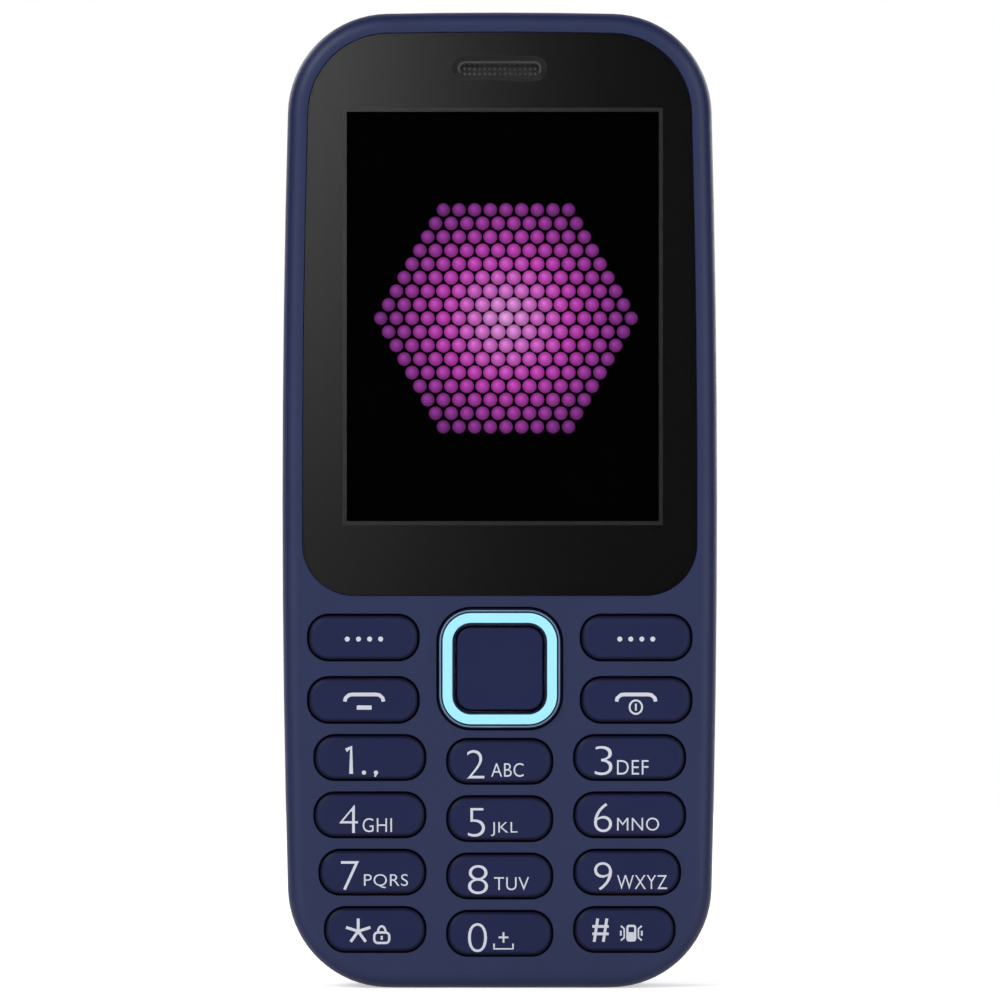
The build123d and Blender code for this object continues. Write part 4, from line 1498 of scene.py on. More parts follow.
LEGENDS = {
    "key_1": Legend(sketch=Sketch.ONE),
    "key_2": Legend(
        Letters("2", (-3.92, 24.85), (-1.83, 28.29)),
        Letters("ABC", (-1.01, 25.12), (2.83, 26.75)),
    ),
    "key_3": Legend(
        Letters("3", (11.27, 25.32), (13.36, 28.76)),
        Letters("DEF", (13.91, 25.39), (17.63, 27.10)),
    ),
    "key_4": Legend(
        Letters("4", (-18.98, 18.47), (-16.81, 21.76)),
        Letters("GHI", (-16.26, 18.56), (-12.78, 20.22)),
    ),
    "key_5": Legend(
        Letters("5", (-3.77, 18.02), (-1.75, 21.41)),
        Letters("JKL", (-1.04, 18.09), (2.11, 19.75)),
    ),
    "key_6": Legend(
        Letters("6", (11.18, 18.56), (13.31, 22.00)),
        Letters("MNO", (13.91, 18.74), (18.89, 20.28)),
    ),
    "key_7": Legend(
        Letters("7", (-18.83, 11.68), (-16.69, 15.12)),
        Letters("PQRS", (-16.1, 11.92), (-10.88, 13.58)),
    ),
    "key_8": Legend(
        Letters("8", (-3.77, 11.21), (-1.39, 14.65)),
        Letters("TUV", (-0.68, 11.68), (3.47, 13.22)),
    ),
    "key_9": Legend(
        Letters("9", (11.18, 11.68), (13.31, 15.00)),
        Letters("WXYZ", (13.91, 11.80), (19.84, 13.46)),
    ),
    "key_0": Legend(Letters("0", (-3.77, 4.33), (-1.51, 7.77)), sketch=Sketch.SPACE),
    "key_star": Legend(sketch=Sketch.STAR),
    "key_hash": Legend(sketch=Sketch.HASH),
    "key_call": Legend(sketch=Sketch.CALL),
    "key_end": Legend(sketch=Sketch.END),
    "key_soft_left": Legend(sketch=Sketch.LEFT_DOTS),
    "key_soft_right": Legend(sketch=Sketch.RIGHT_DOTS),
}


@dataclass
class Keypad:
    """The twelve number keys, the four function keys and what is printed on them.

    Attributes:
        flange: how far a cap's hidden flange stands out round it, in millimetres.
        flange_thick: how thick the flange is.
        crown_width: how wide the fall at a cap's edge is.
        crown_drop: how deep it falls.
        corner: radius of a cap's corners.
        digit_weight: width of the strokes of a large sign.
        small_weight: width of the strokes of a small sign.
        star_share: width of the star's strokes, as a share of a large sign's.
        digit_thinner: how much the figures' outlines are drawn in.
        letter_thinner: how much the small letters' outlines are drawn in.
        handset_low: the lowest place of the call and end keys' receivers.
        handset_high: their highest place.
        dots_z: height of the function keys' dots.
        dot_size: width of such a dot.
        left_dots: the left key's dots, across the phone.
        right_dots: the right key's dots.
    """

    flange: float = 0.40
    flange_thick: float = 0.45
    crown_width: float = 0.95
    crown_drop: float = 0.30
    corner: float = 2.35
    digit_weight: float = 0.40
    small_weight: float = 0.22
    star_share: float = 0.85
    digit_thinner: float = 0.018
    letter_thinner: float = 0.006
    handset_low: float = 33.83
    handset_high: float = 35.10
    dots_z: float = 41.45
    dot_size: float = 0.62
    left_dots: Sequence[float] = (-18.08, -16.75, -15.43, -14.12)
    right_dots: Sequence[float] = (14.24, 15.54, 16.85, 18.14)

    def build(self) -> None:
        """Builds each cap in its key's place and prints its legend."""
        for key, legend in LEGENDS.items():
            self.build_cap(key)
            self.print_legend(key, legend)

    def build_cap(self, key: str) -> None:
        """Builds one cap with its crowned front and its hidden flange.

        Args:
            key: name of the key's node and of its body.
        """
        low, high = (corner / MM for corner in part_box(key))
        x, z = (low.x + high.x) / 2.0, (low.z + high.z) / 2.0
        width, height = high.x - low.x, high.z - low.z
        work = bmesh.new()
        foot = RoundedBlock(width, height, self.corner + self.flange, self.flange_thick)
        foot.add_to(work, x, high.y, z)
        seat = high.y - self.flange_thick
        cap = RoundedBlock(
            width - 2.0 * self.flange,
            height - 2.0 * self.flange,
            self.corner,
            seat - low.y,
            self.crown_width,
            self.crown_drop,
        )
        cap.add_to(work, x, seat, z)
        name = "cap_" + key.removeprefix("key_")
        piece = settle(name, work, PALETTE.carried(Slot.KEYS), key, faces_known=True)
        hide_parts(key)

    def print_legend(self, key: str, legend: Legend) -> None:
        """Prints one key's legend on its cap.

        Args:
            key: name of the key's node and of its body.
            legend: what it shows.
        """
        pen = Pen(self.digit_weight)
        if legend.digit is not None:
            pen.words(legend.digit, self.digit_thinner)
        if legend.letters is not None:
            pen.words(legend.letters, self.letter_thinner)
        if legend.sketch is not None:
            self.draw(pen, legend.sketch)
        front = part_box(key)[0].y / MM
        ink = PALETTE.material("legend_ink", INK_FINISH)
        pen.finish("legend_" + key.removeprefix("key_"), front, key, ink)

    def draw(self, pen: Pen, sketch: Sketch) -> None:
        """Draws a sign in strokes and dots.

        Args:
            pen: what draws it.
            sketch: which sign.
        """
        drawings: dict[Sketch, Callable[[Pen], None]] = {
            Sketch.ONE: self.draw_one,
            Sketch.SPACE: self.draw_space,
            Sketch.STAR: self.draw_star,
            Sketch.HASH: self.draw_hash,
            Sketch.CALL: self.draw_call,
            Sketch.END: self.draw_end,
            Sketch.LEFT_DOTS: self.draw_left_dots,
            Sketch.RIGHT_DOTS: self.draw_right_dots,
        }
        drawings[sketch](pen)

    def draw_one(self, pen: Pen) -> None:
        """Draws the figure one with a slanted flag and no foot, a full stop and a comma.

        Args:
            pen: what draws it.
        """
        stem, foot, top, weight = -17.62, 25.48, 28.60, 0.46
        flag_reach, flag_drop = 0.62, 0.34
        pen.line([(stem - flag_reach, top - flag_drop), (stem, top), (stem, foot)], weight)
        stop, comma, level, size = -16.10, -14.68, 25.62, 0.52
        for across in (stop, comma):
            pen.dot((across, level), size)
        tail_top, tail_end, tail_weight = (-14.62, 25.58), (-14.80, 25.14), 0.24
        pen.line([tail_top, tail_end], tail_weight)

    def draw_space(self, pen: Pen) -> None:
        """Draws a small cross over an open bracket.

        Args:
            pen: what draws it.
        """
        left, right, foot, hook = -0.68, 1.57, 4.72, 0.62
        bracket = [(left, foot + hook), (left, foot), (right, foot), (right, foot + hook)]
        pen.line(bracket, self.small_weight)
        middle, low, high = (left + right) / 2.0, 5.45, 6.70
        level, reach = 6.08, 0.58
        pen.line([(middle, low), (middle, high)], self.small_weight)
        pen.line([(middle - reach, level), (middle + reach, level)], self.small_weight)

    def draw_star(self, pen: Pen) -> None:
        """Draws a star and a small padlock.

        Args:
            pen: what draws them.
        """
        centre, reach, arms = (-16.78, 6.80), 1.52, 5
        for arm in range(arms):
            turn = QUARTER_TURN + math.tau * arm / arms
            tip = (centre[0] + reach * math.cos(turn), centre[1] + reach * math.sin(turn))
            pen.line([centre, tip], self.digit_weight * self.star_share)
        self.draw_padlock(pen)

    def draw_padlock(self, pen: Pen) -> None:
        """Draws a closed padlock with a keyhole.

        Args:
            pen: what draws it.
        """
        middle, case_z, width, height, corner = -13.99, 6.04, 1.78, 1.24, 0.42
        case_weight, line_weight = 0.28, 0.26
        case = rounded_path((middle, case_z), width, height, corner, steps=4)
        pen.line(case, case_weight, closed=True)
        shackle_z, shackle_radii = 6.66, (0.46, 0.74)
        pen.arc((middle, shackle_z), shackle_radii, 0.0, HALF_CIRCLE, line_weight)
        hole_low, hole_high = 5.80, 6.26
        pen.line([(middle, hole_low), (middle, hole_high)], line_weight)

    def draw_hash(self, pen: Pen) -> None:
        """Draws a leaning hash sign and a handset that shakes.

        Args:
            pen: what draws them.
        """
        left, right, foot, head = 10.98, 12.92, 5.56, 8.32
        lean, inset, weight = 0.42, 0.22, 0.33
        for stem in (left + inset, right - inset - lean):
            pen.line([(stem, foot), (stem + lean, head)], weight)
        for bar_share in (0.34, 0.66):
            level = foot + (head - foot) * bar_share
            pen.line([(left, level), (right, level)], weight)
        self.draw_shaking_handset(pen)

    def draw_shaking_handset(self, pen: Pen) -> None:
        """Draws a small upright handset between two pairs of shaking lines.

        Args:
            pen: what draws it.
        """
        x, z, width, height, corner = 15.60, 6.58, 0.92, 1.72, 0.18
        case_weight, line_weight = 0.26, 0.2
        pen.line(rounded_path((x, z), width, height, corner, steps=3), case_weight, closed=True)
        keys_half, keys_foot, keys_top = 0.36, 0.74, 0.12
        pen.bar((x - keys_half, z - keys_foot), (x + keys_half, z + keys_top))
        near, far, near_half, far_half, mark_half = 0.84, 1.24, 0.52, 0.86, 0.30
        for side in (-1.0, 1.0):
            inner, outer = x + side * near, x + side * far
            upper = [(outer, z + far_half), (inner, z + near_half)]
            lower = [(inner, z - near_half), (outer, z - far_half)]
            pen.line(upper + lower, line_weight)
            pen.line([(outer, z + mark_half), (outer, z - mark_half)], line_weight)

    def draw_receiver(self, pen: Pen, left: float, right: float) -> None:
        """Draws a receiver seen from the side: a flat arch with two drooping ends.

        Args:
            pen: what draws it.
            left: where it starts across the phone.
            right: where it ends.
        """
        thick, tip, elbow, shoulder, flat = 0.44, 0.24, 0.34, 0.75, 1.125
        elbow_drop, shoulder_drop = 0.42, 0.06
        crown = self.handset_high - thick / 2.0
        droop = self.handset_low + thick / 2.0
        arm = [
            (tip, droop),
            (elbow, crown - elbow_drop),
            (shoulder, crown - shoulder_drop),
            (flat, crown),
        ]
        first = [(left + inward, up) for inward, up in arm]
        second = [(right - inward, up) for inward, up in reversed(arm)]
        pen.line(first + second, thick)

    def draw_call(self, pen: Pen) -> None:
        """Draws the receiver over a short bar.

        Args:
            pen: what draws it.
        """
        left, right = -18.62, -13.54
        self.draw_receiver(pen, left, right)
        bar_left, bar_right, bar_z, weight = -16.95, -15.20, 33.33, 0.5
        pen.line([(bar_left, bar_z), (bar_right, bar_z)], weight)

    def draw_end(self, pen: Pen) -> None:
        """Draws the receiver over a power sign.

        Args:
            pen: what draws it.
        """
        left, right = 13.60, 18.72
        self.draw_receiver(pen, left, right)
        x, z, radii, steps = 16.14, 33.38, (0.74, 0.80), 24
        pen.arc((x, z), radii, 0.0, FULL_CIRCLE, self.small_weight, steps)
        below, above = 0.40, 0.42
        pen.line([(x, z - below), (x, z + above)], self.small_weight)

    def draw_left_dots(self, pen: Pen) -> None:
        """Draws the left function key's dots."""
        self.draw_dots(pen, self.left_dots)

    def draw_right_dots(self, pen: Pen) -> None:
        """Draws the right function key's dots."""
        self.draw_dots(pen, self.right_dots)

    def draw_dots(self, pen: Pen, places: Sequence[float]) -> None:
        """Draws dots in a row at places across the phone."""
        for across in places:
            pen.dot((across, self.dots_z), self.dot_size)


@dataclass
class Navigation:
    """A painted highlight: the fine pale line round the pale band of the navigation ring, standing in for
    the light on the ring's outer bevel.

    Attributes:
        ring_z: height of the ring's middle, in millimetres.
        ring_width: the ring's width.
        ring_height: the ring's height.
        ring_corner: radius of its corners.
        line_inset: how far the line lies inside its edge.
        line_weight: width of the line.
        line_rise: how far the line stands above the ring.
    """

    ring_z: float = 37.94
    ring_width: float = 14.65
    ring_height: float = 14.28
    ring_corner: float = 3.95
    line_inset: float = 0.27
    line_weight: float = 0.18
    line_rise: float = 0.03

    def build(self) -> None:
        """Lays the painted highlight line on the ring's own front."""
        front = max(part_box(node)[0].y / MM for node in ("nav_band", "nav_ring"))
        path = rounded_path(
            (0.0, self.ring_z),
            self.ring_width - 2.0 * self.line_inset,
            self.ring_height - 2.0 * self.line_inset,
            self.ring_corner - self.line_inset,
        )
        pen = Pen(self.line_weight, self.line_rise)
        pen.line(path, closed=True)
        ink = PALETTE.material("ring_hairline_highlight", HAIRLINE_HIGHLIGHT_FINISH)
        pen.finish("ring_hairline_highlight", front, Body.RING.value, ink)


@dataclass
class Window:
    """What the display window shows: its black edge, its keyline, a lit picture and the earpiece's lip,
    whose pale colour paints a highlight.

    Attributes:
        view_x: the opening's middle across the phone, in millimetres.
        view_z: its middle up the phone.
        view_width: its width.
        view_height: its height.
        keyline_width: width of the line round it.
        keyline_thick: thickness of that line.
        keyline_reach: how far back it reaches from the lens, in thicknesses.
        lip_z: height of the lip's middle.
        lip_width: how wide it is.
        lip_height: twice the radius of its rounded ends.
        lip_radius: radius of its section.
        lip_sink: how far it stays behind the lens's front and before the mesh.
        lip_start: the angle at which its left end starts, in degrees.
        lip_sweep: how far that end turns.
        lip_steps: how many runs that end has.
        edge_print_width: width of the black print behind the lens's edge.
        edge_print_gap: how far the print lies behind the lens.
        edge_print_thick: thickness of the print.
        rear_reach: how near to the lens's back its rear outline is looked for.
        weld: how near two points of that outline are taken for one.
    """

    view_x: float = 0.36
    view_z: float = 79.73
    view_width: float = 37.05
    view_height: float = 48.60
    keyline_width: float = 0.48
    keyline_thick: float = 0.006
    keyline_reach: float = 1.5
    lip_z: float = 109.135
    lip_width: float = 9.69
    lip_height: float = 1.44
    lip_radius: float = 0.19
    lip_sink: float = 0.02
    lip_start: float = 225.0
    lip_sweep: float = 135.0
    lip_steps: int = 16
    edge_print_width: float = 0.29
    edge_print_gap: float = 0.03
    edge_print_thick: float = 0.04
    rear_reach: float = 0.01
    weld: float = 0.001

    def build(self) -> None:
        """Builds the four pieces."""
        self.build_edge_print()
        self.build_keyline()
        Picture().build()
        self.build_lip_highlight()

    def build_edge_print(self) -> None:
        """The black print behind the lens's edge, from its outline to the film's."""
        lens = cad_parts["display_lens"]
        placed = [lens.matrix_world @ vert.co for vert in lens.data.vertices]
        back = max(vert.y for vert in placed)
        rear = [vert.xz for vert in placed if back - vert.y < self.rear_reach * MM]
        work = bmesh.new()
        outline = [work.verts.new((*rear[held], 0.0)) for held in convex_hull_2d(rear)]
        work.faces.new(outline)
        bmesh.ops.remove_doubles(work, verts=work.verts, dist=self.weld * MM)
        hollow_out(work, self.edge_print_width, self.edge_print_thick)
        depth = back / MM + self.edge_print_gap + self.edge_print_thick
        work.transform(standing(0.0, depth, 0.0, Facing.FRONT))
        settle("lens_edge_print", work, PALETTE.carried(Slot.BORDER), Body.CHASSIS.value)

    def build_keyline(self) -> None:
        """A fine printed line round the opening in the border, between the lens and the film."""
        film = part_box("lens_border")[0].y / MM
        both_sides = 2.0 * self.keyline_width
        work = flat_sheet(self.view_width + both_sides, self.view_height + both_sides)
        hollow_out(work, self.keyline_width, self.keyline_thick)
        depth = film + self.keyline_reach * self.keyline_thick
        work.transform(standing(self.view_x, depth, self.view_z, Facing.FRONT))
        ink = PALETTE.material("view_keyline", KEYLINE_FINISH)
        settle("view_keyline", work, ink, Body.CHASSIS.value)

    def build_lip_highlight(self) -> None:
        """A pale lip on the mesh in the earpiece slot, hooked down at both ends, whose colour paints the
        highlight on the slot's upper edge.
        """
        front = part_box("display_lens")[0].y / MM
        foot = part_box("earpiece_mesh")[0].y / MM
        radius = self.lip_height / 2.0
        centre = radius - self.lip_width / 2.0
        left = []
        for step in range(self.lip_steps + 1):
            turn = math.radians(self.lip_start - self.lip_sweep * step / self.lip_steps)
            left.append((centre + radius * math.cos(turn), self.lip_z + radius * math.sin(turn)))
        right = [(-across, up) for across, up in reversed(left)]
        pen = Pen(2.0 * self.lip_radius, (foot - front) / 2.0 - self.lip_sink)
        pen.line(left + right)
        paint = PALETTE.material("earpiece_lip_highlight", LIP_HIGHLIGHT_FINISH)
        pen.finish("earpiece_lip_highlight", (front + foot) / 2.0, Body.CHASSIS.value, paint)


@dataclass
class Picture:
    """The lit picture: a six-sided field of round beads, bright in its middle and deep at its edge.

    Attributes:
        x: the field's middle across the phone, in millimetres.
        z: its middle up the phone.
        gap: how far it lies before the display's glass.
        pitch: from one bead to the next.
        rings: how many rings of beads lie round the middle one.
        bright: the colour of the middle bead.
        middle: the colour half the way out.
        deep: the colour at the edge.
        halfway: how far out the middle colour lies, as a share of the field.
        radius_share: a bead's radius in the middle of the field, in pitches.
        shrink: how much smaller the beads at the edge are, as a share.
        sides: how many sides a bead has.
        turn: how far a bead is turned, so that its sides don't line up with its neighbours.
        rim_share: how much of its colour a bead keeps at its rim.
        heart_share: how far its brightest point is drawn towards white.
        heart_left: how far that point lies left of its middle, in radii.
        heart_up: how far it lies above.
    """

    x: float = 0.74
    z: float = 79.53
    gap: float = 0.02
    pitch: float = 1.86
    rings: int = 8
    bright: Colour = Colour(255, 158, 250)
    middle: Colour = Colour(214, 44, 196)
    deep: Colour = Colour(118, 10, 128)
    halfway: float = 0.5
    radius_share: float = 0.495
    shrink: float = 0.12
    sides: int = 14
    turn: float = 0.3
    rim_share: float = 0.62
    heart_share: float = 0.18
    heart_left: float = 0.22
    heart_up: float = 0.28

    def places(self) -> Iterator[Triple]:
        """Goes through the beads of the field.

        Yields:
            A bead's place across and up, and how far out it lies as a share of the field.
        """
        rise = self.pitch * math.sqrt(3.0) / 2.0
        for row in range(-self.rings, self.rings + 1):
            count = 2 * self.rings + 1 - abs(row)
            for step in range(count):
                across = (step - (count - 1) / 2.0) * self.pitch
                up = row * rise
                yield across, up, math.hypot(across, up) / (self.rings * self.pitch)

    def colour(self, out: float) -> Colour:
        """Picks a bead's colour.

        Args:
            out: how far out it lies, as a share of the field.

        Returns:
            The colour between the middle of its face and its rim.
        """
        if out < self.halfway:
            return self.bright.towards(self.middle, out / self.halfway)
        return self.middle.towards(self.deep, min(1.0, (out - self.halfway) / (1.0 - self.halfway)))

    def build(self) -> None:
        """Builds the field before the display's glass."""
        work = bmesh.new()
        glow = work.verts.layers.float_color.new(GLOW_LAYER)
        for across, up, out in self.places():
            self.add_bead(work, glow, across, up, out)
        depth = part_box("lcd_panel")[0].y / MM - self.gap
        work.transform(standing(self.x, depth, self.z, Facing.FRONT) @ Matrix.Scale(MM, 4))
        lit = PALETTE.material("screen_picture", LitPicture())
        settle("screen_picture", work, lit, Body.CHASSIS.value, faces_known=True)

    def add_bead(
        self,
        work: bmesh.types.BMesh,
        glow: bmesh.types.BMLayerItem,
        across: float,
        up: float,
        out: float,
    ) -> None:
        """Adds one bead, whose points carry its colours.

        Args:
            work: the mesh that gets it.
            glow: the layer that holds the colours.
            across: its place across the field.
            up: its place up the field.
            out: how far out it lies, as a share of the field.
        """
        base = self.colour(out)
        rim, bright = BLACK.towards(base, self.rim_share), base.towards(WHITE, self.heart_share)
        radius = self.pitch * self.radius_share * (1.0 - self.shrink * out)
        made = bmesh.ops.create_circle(
            work, cap_ends=True, cap_tris=True, segments=self.sides, radius=radius
        )
        bead = made["verts"]
        turn = Matrix.Rotation(self.turn, 3, "Z")
        bmesh.ops.rotate(work, verts=bead, cent=(0.0, 0.0, 0.0), matrix=turn)
        heart = min(bead, key=lambda vert: vert.co.length)
        for vert in bead:
            vert[glow] = (bright if vert is heart else rim).light()
        heart.co.x -= radius * self.heart_left
        heart.co.y += radius * self.heart_up
        bmesh.ops.translate(work, verts=bead, vec=(across, up, 0.0))


@dataclass
class BackCamera:
    """The camera's barrel and glass under its window, and the print and the thin rim round it.

    Attributes:
        barrel_radius: the barrel's outer radius, in millimetres.
        barrel_rise: how far it stands on the module.
        steps_down: how many steps its funnel has.
        step_width: width of such a step.
        step_depth: depth of such a step.
        step_wall: how far a step's wall leans, which keeps its two edges apart.
        top_share: how straight up a face looks if it is the barrel's top, where 1 is straight.
        glass_radius: radius of the domed glass.
        glass_rise: how far its dome stands out.
        glass_rings: how many rings the dome has, and half its runs round.
        rim_width: width of the metal rim.
        rim_rise: how far the rim stands out.
        rim_inset: how far the rim lies inside the window's edge.
        print_hole: radius of the clear hole in the window's print.
        print_gap: how far the print lies before the window.
        print_thick: thickness of the print.
        sides: how many straight runs each round has.
    """

    barrel_radius: float = 2.55
    barrel_rise: float = 0.16
    steps_down: int = 3
    step_width: float = 0.34
    step_depth: float = 0.07
    step_wall: float = 0.0001
    top_share: float = 0.9
    glass_radius: float = 1.15
    glass_rise: float = 0.14
    glass_rings: int = 16
    rim_width: float = 0.32
    rim_rise: float = 0.05
    rim_inset: float = 0.02
    print_hole: float = 1.9
    print_gap: float = 0.01
    print_thick: float = 0.01
    sides: int = 64

    def build(self) -> None:
        """Builds the two pieces on the camera module and the two on its window."""
        low, high = (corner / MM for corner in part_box("camera_module"))
        x, z = (low.x + high.x) / 2.0, (low.z + high.z) / 2.0
        self.build_barrel(x, high.y, z)
        self.build_glass(x, high.y, z)
        self.build_window_edge(x, z)

    def build_barrel(self, x: float, seat: float, z: float) -> None:
        """Builds the stepped funnel.

        Args:
            x: the camera's middle across the phone.
            seat: depth coordinate of the module's back.
            z: the camera's middle up the phone.
        """
        barrel = bmesh.new()
        bmesh.ops.create_cone(
            barrel,
            cap_ends=True,
            segments=self.sides,
            radius1=self.barrel_radius * MM,
            radius2=self.barrel_radius * MM,
            depth=self.barrel_rise * MM,
            matrix=Matrix.Translation((0.0, 0.0, self.barrel_rise * MM / 2.0)),
        )
        top = [face for face in barrel.faces if face.normal.z > self.top_share]
        wall, down = self.step_wall * MM, -self.step_depth * MM
        for _ in range(self.steps_down):
            bmesh.ops.inset_region(barrel, faces=top, thickness=self.step_width * MM)
            bmesh.ops.inset_region(barrel, faces=top, thickness=wall, depth=down)
        barrel.transform(standing(x, seat, z, Facing.BACK))
        settle("camera_barrel", barrel, PALETTE.carried(Slot.BLACK), Body.CHASSIS.value)

    def build_glass(self, x: float, seat: float, z: float) -> None:
        """Builds the small domed glass in the barrel's middle.

        Args:
            x: the camera's middle across the phone.
            seat: depth coordinate of the module's back.
            z: the camera's middle up the phone.
        """
        glass = bmesh.new()
        bmesh.ops.create_uvsphere(
            glass,
            u_segments=2 * self.glass_rings,
            v_segments=self.glass_rings,
            radius=self.glass_radius * MM,
        )
        flatter = (1.0, 1.0, self.glass_rise / self.glass_radius)
        bmesh.ops.scale(glass, vec=flatter, verts=glass.verts)
        glass.transform(standing(x, seat, z, Facing.BACK))
        iris = PALETTE.material("camera_iris", IRIS_FINISH)
        settle("camera_glass_dome", glass, iris, Body.CHASSIS.value)

    def build_window_edge(self, x: float, z: float) -> None:
        """Builds the metal rim on the window and the print behind it, which move with the cover.

        Args:
            x: the camera's middle across the phone.
            z: the camera's middle up the phone.
        """
        low, high = (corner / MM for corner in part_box("camera_window"))
        radius = (high.x - low.x) / 2.0 - self.rim_inset
        rim = flat_ring(radius, self.rim_width, self.rim_rise, self.sides)
        rim.transform(standing(x, high.y, z, Facing.BACK))
        settle("camera_rim", rim, PALETTE.material("camera_rim", RIM_FINISH), Body.COVER.value)
        mask = flat_ring(radius, radius - self.print_hole, self.print_thick, self.sides)
        mask.transform(standing(x, low.y - self.print_gap - self.print_thick, z, Facing.BACK))
        black = PALETTE.carried(Slot.BORDER)
        settle("camera_window_print", mask, black, Body.COVER.value)


@dataclass
class TopEnd:
    """The steel collar in the headphone socket's mouth.

    Attributes:
        jack_x: the socket's middle across the phone, in millimetres.
        jack_y: depth coordinate of its middle.
        collar_radius: the collar's outer radius.
        collar_width: how wide it is from its rim to its hole.
        collar_rise: how far it stands on the socket.
        sides: how many straight runs its round has.
    """

    jack_x: float = 12.5
    jack_y: float = 0.55
    collar_radius: float = 2.14
    collar_width: float = 0.30
    collar_rise: float = 0.22
    sides: int = 48

    def build(self) -> None:
        """Builds the collar on the socket's top."""
        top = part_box("headphone_socket")[1].z / MM
        work = flat_ring(self.collar_radius, self.collar_width, self.collar_rise, self.sides)
        work.transform(Matrix.Translation(Vector((self.jack_x, self.jack_y, top)) * MM))
        steel = PALETTE.carried(Slot.STEEL)
        settle("jack_collar", work, steel, Body.CHASSIS.value)


@dataclass
class BatteryEnd:
    """The pads on the battery that the connector's contacts press on.

    Attributes:
        pad_side: length of a pad's sides, in millimetres.
        pad_rise: how far a pad stands on the battery.
        pad_y: depth coordinate of the pads' middle.
        pads: how many there are.
    """

    pad_side: float = 1.7
    pad_rise: float = 0.03
    pad_y: float = 1.75
    pads: int = 3

    def build(self) -> None:
        """Builds one pad under each sprung contact."""
        low, high = (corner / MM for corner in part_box("battery_contacts"))
        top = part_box("battery")[1].z / MM
        pitch = (high.x - low.x - self.pad_side) / (self.pads - 1)
        work = bmesh.new()
        for step in range(self.pads):
            middle = low.x + self.pad_side / 2.0 + step * pitch
            place = Matrix.Translation(Vector((middle, self.pad_y, top)) * MM)
            sizes = Matrix.Diagonal((self.pad_side, self.pad_side, 2.0 * self.pad_rise, 1.0))
            bmesh.ops.create_cube(work, size=MM, matrix=place @ sizes)
        settle("battery_pads", work, PALETTE.carried(Slot.GOLD), Body.BATTERY.value)


@dataclass
class CarriedNodes:
    """Gives every piece that stays as the frame has it the finish of its own slot.

    Attributes:
        film_gap: how far the border's film is kept behind the lens, in millimetres.
    """

    film_gap: float = 0.02

    def dress(self) -> None:
        """Sets each node's material by the slot name that it came in with."""
        for name, node in sorted(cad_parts.items()):
            for place, held in enumerate(node.data.materials):
                slot = Slot(held.name.split(".")[0])
                node.data.materials[place] = PALETTE.carried(slot)
                LOG.info("node %s: %s", name, slot.value)
        self.part_film(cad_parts["lens_border"])

    def part_film(self, film: bpy.types.Object) -> None:
        """Keeps the printed film a hair behind the lens, so that their faces don't share a plane.

        Args:
            film: the border's node.
        """
        gap = film.modifiers.new("film_gap", "DISPLACE")
        gap.direction = Axis.DEEP.value
        gap.mid_level = 0.0
        gap.strength = self.film_gap * MM


@dataclass(frozen=True)
class Lamp:
    """A square soft lamp that faces the phone.

    Attributes:
        name: its name.
        place: where it hangs, in metres.
        size: the length of its sides, in metres.
        power: its strength in watts.
    """

    name: str
    place: Triple
    size: float
    power: float


@dataclass(frozen=True)
class Fade:
    """How the card before the glass brightens towards its top and its left.

    Attributes:
        foot: the height at which the rise starts, in metres.
        top: the height at which it ends.
        foot_level: the level at the foot.
        top_level: the level at the top.
        left: the place across from which the fall starts, in metres.
        right: the place at which nothing is left.
        power: how steeply it falls.
        least: the level that is left everywhere.
    """

    foot: float = 0.044
    top: float = 0.181
    foot_level: float = 0.45
    top_level: float = 1.95
    left: float = -0.055
    right: float = 0.045
    power: float = 2.2
    least: float = 0.09

    def socket(self, sheet: Sheet) -> Socket:
        """Adds the nodes of the fade.

        Args:
            sheet: the card's sheet.

        Returns:
            The socket that gives the card's level.
        """
        height, place = sheet.along(Axis.UP), sheet.along(Axis.ACROSS)
        rising = sheet.ranged(height, self.foot_level, self.top_level, self.foot, self.top)
        falling = sheet.ranged(place, 1.0, 0.0, self.left, self.right)
        across = sheet.maths("POWER", falling, self.power)
        return sheet.maths("MULTIPLY_ADD", rising, across, self.least)


@dataclass(frozen=True)
class Card:
    """A flat card that only reflections see.

    Attributes:
        name: its name.
        centre: its middle, in metres.
        size: its width and height, in metres.
        hung: how it hangs.
        level: how brightly it glows, where 1 is white, or how that changes across it.
    """

    name: str
    centre: Triple
    size: Point
    hung: Hung
    level: float | Fade


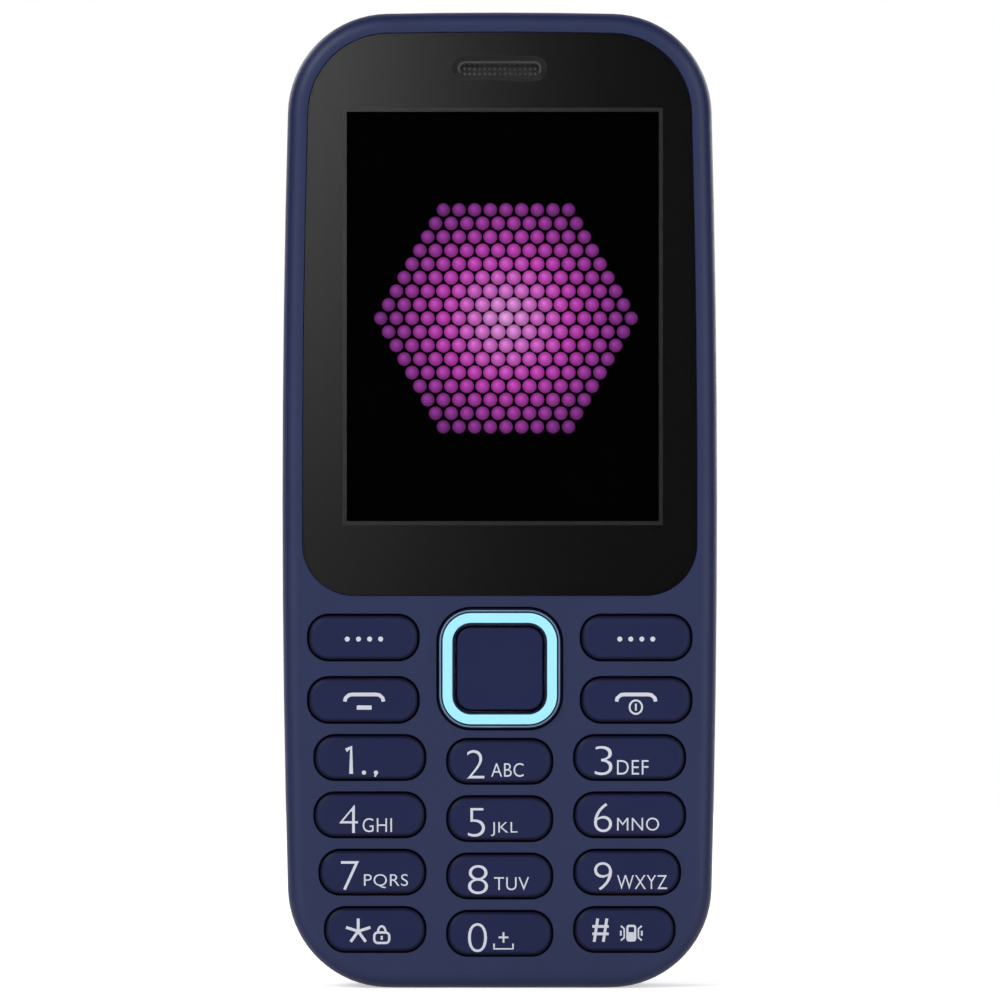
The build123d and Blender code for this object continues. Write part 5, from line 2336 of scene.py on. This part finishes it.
@dataclass
class Studio:
    """The camera, the lamps, the floor and the cards that the gloss shows.

    Attributes:
        camera_place: where the camera stands, in metres.
        lens: its focal length in millimetres.
        sensor: its sensor's width in millimetres.
        near: where its sight begins, in metres.
        aim: the phone's middle, which the lamps face, in metres.
        room_level: how brightly the room lights the phone.
        floor_radius: the floor's radius in metres.
        floor_sides: how many sides it has.
        floor_level: how much light of its own the backdrop rays see on the floor.
        lamps: the lamps.
        cards: the cards, of which the last one fades across the glass.
    """

    camera_place: Triple = (0.00003, -0.99496, 0.05794)
    lens: float = 300.0
    sensor: float = 36.0
    near: float = 0.01
    aim: Triple = (0.0, 0.0, 0.058)
    room_level: float = 0.42
    floor_radius: float = 0.55
    floor_sides: int = 96
    floor_level: float = 0.5
    lamps: Sequence[Lamp] = (
        Lamp("key_lamp", (-0.7, -0.9, 0.8), 0.6, 10.0),
        Lamp("fill_lamp", (0.8, -0.8, 0.35), 0.9, 4.0),
        Lamp("back_left_lamp", (-0.8, 0.9, 0.6), 0.7, 6.0),
        Lamp("back_right_lamp", (0.8, 0.9, 0.4), 0.7, 5.0),
    )
    cards: Sequence[Card] = (
        Card("card_behind", (0.0, -1.36, 0.1), (3.2, 2.6), Hung.UPRIGHT, 0.3),
        Card("card_left", (-0.9, -0.05, 0.1), (0.9, 1.2), Hung.SIDEWAYS, 0.16),
        Card("card_right", (0.9, -0.05, 0.1), (0.9, 1.2), Hung.SIDEWAYS, 0.16),
        Card("card_top", (0.0, -0.05, 0.9), (1.6, 0.9), Hung.FLAT, 0.25),
        Card("strip_left", (-1.15, -1.2, 0.3), (0.42, 1.6), Hung.UPRIGHT, 3.0),
        Card("strip_right", (1.15, -1.2, 0.3), (0.42, 1.6), Hung.UPRIGHT, 3.0),
        Card("card_fade", (0.0, -1.35, 0.125), (0.2, 0.35), Hung.UPRIGHT, Fade()),
    )

    def build(self) -> None:
        """Sets the whole studio up."""
        bpy.context.scene.view_settings.view_transform = "Standard"
        self.add_camera()
        self.add_room()
        self.add_floor()
        for lamp in self.lamps:
            self.add_lamp(lamp)
        for card in self.cards:
            self.add_card(card)

    def add_camera(self) -> None:
        """Adds a level camera that looks straight at the front."""
        data = bpy.data.cameras.new("camera")
        data.type = "PERSP"
        data.lens = self.lens
        data.sensor_width = self.sensor
        data.clip_start = self.near
        camera = bpy.data.objects.new("camera", data)
        camera.location = self.camera_place
        camera.rotation_euler = (QUARTER_TURN, 0.0, 0.0)
        bpy.context.scene.collection.objects.link(camera)
        bpy.context.scene.camera = camera

    def add_room(self) -> None:
        """Adds a room that looks white and lights the phone softly."""
        world = bpy.data.worlds.new("room")
        bpy.context.scene.world = world
        sheet = Sheet(world, "ShaderNodeOutputWorld")
        level = sheet.ranged(sheet.backdrop(), self.room_level, 1.0, 0.0, 1.0)
        sheet.show("ShaderNodeBackground", {"Color": WHITE.light(), "Strength": level})

    def add_floor(self) -> None:
        """Adds a pale floor that keeps the phone's shadow."""
        work = bmesh.new()
        bmesh.ops.create_circle(
            work, cap_ends=True, segments=self.floor_sides, radius=self.floor_radius
        )
        floor = self.stand_up("floor", work, FloorPaper(self.floor_level).make("floor_paper"))

    def add_lamp(self, lamp: Lamp) -> None:
        """Hangs one lamp.

        Args:
            lamp: the lamp.
        """
        data = bpy.data.lights.new(lamp.name, "AREA")
        data.size = lamp.size
        data.energy = lamp.power
        hung = bpy.data.objects.new(lamp.name, data)
        hung.location = lamp.place
        hung.rotation_mode = "QUATERNION"
        towards_phone = Vector(self.aim) - Vector(lamp.place)
        hung.rotation_quaternion = towards_phone.to_track_quat("-Z", "Y")
        bpy.context.scene.collection.objects.link(hung)

    def add_card(self, card: Card) -> None:
        """Hangs one card where only reflections see it.

        Args:
            card: the card.
        """
        sheet = Sheet(bpy.data.materials.new(card.name))
        level = card.level.socket(sheet) if isinstance(card.level, Fade) else card.level
        sheet.show("ShaderNodeEmission", {"Color": WHITE.light(), "Strength": level})
        work = flat_sheet(*card.size, unit=1.0)
        across, up = card.hung.value
        turn = Matrix.Rotation(up, 4, "Z") @ Matrix.Rotation(across, 4, "X")
        work.transform(Matrix.Translation(card.centre) @ turn)
        piece = self.stand_up(card.name, work, sheet.owner)
        piece.visible_camera = False
        piece.visible_diffuse = False
        piece.visible_transmission = False
        piece.visible_shadow = False
        piece.visible_volume_scatter = False

    def stand_up(
        self,
        name: str,
        work: bmesh.types.BMesh,
        material: bpy.types.Material,
    ) -> bpy.types.Object:
        """Turns a bmesh into an object of the studio.

        Args:
            name: the object's name.
            work: the mesh, which is freed here.
            material: its finish.

        Returns:
            The new object.
        """
        mesh = bpy.data.meshes.new(name)
        work.to_mesh(mesh)
        work.free()
        mesh.materials.append(material)
        item = bpy.data.objects.new(name, mesh)
        bpy.context.scene.collection.objects.link(item)
        return item


def main() -> None:
    """Builds the studio and every sub-assembly."""
    logging.basicConfig(level=logging.INFO, format="%(name)s %(message)s")
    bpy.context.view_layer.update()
    Studio().build()
    CarriedNodes().dress()
    Keypad().build()
    Navigation().build()
    Window().build()
    BackCamera().build()
    TopEnd().build()
    BatteryEnd().build()


if __name__ == "__main__":
    main()
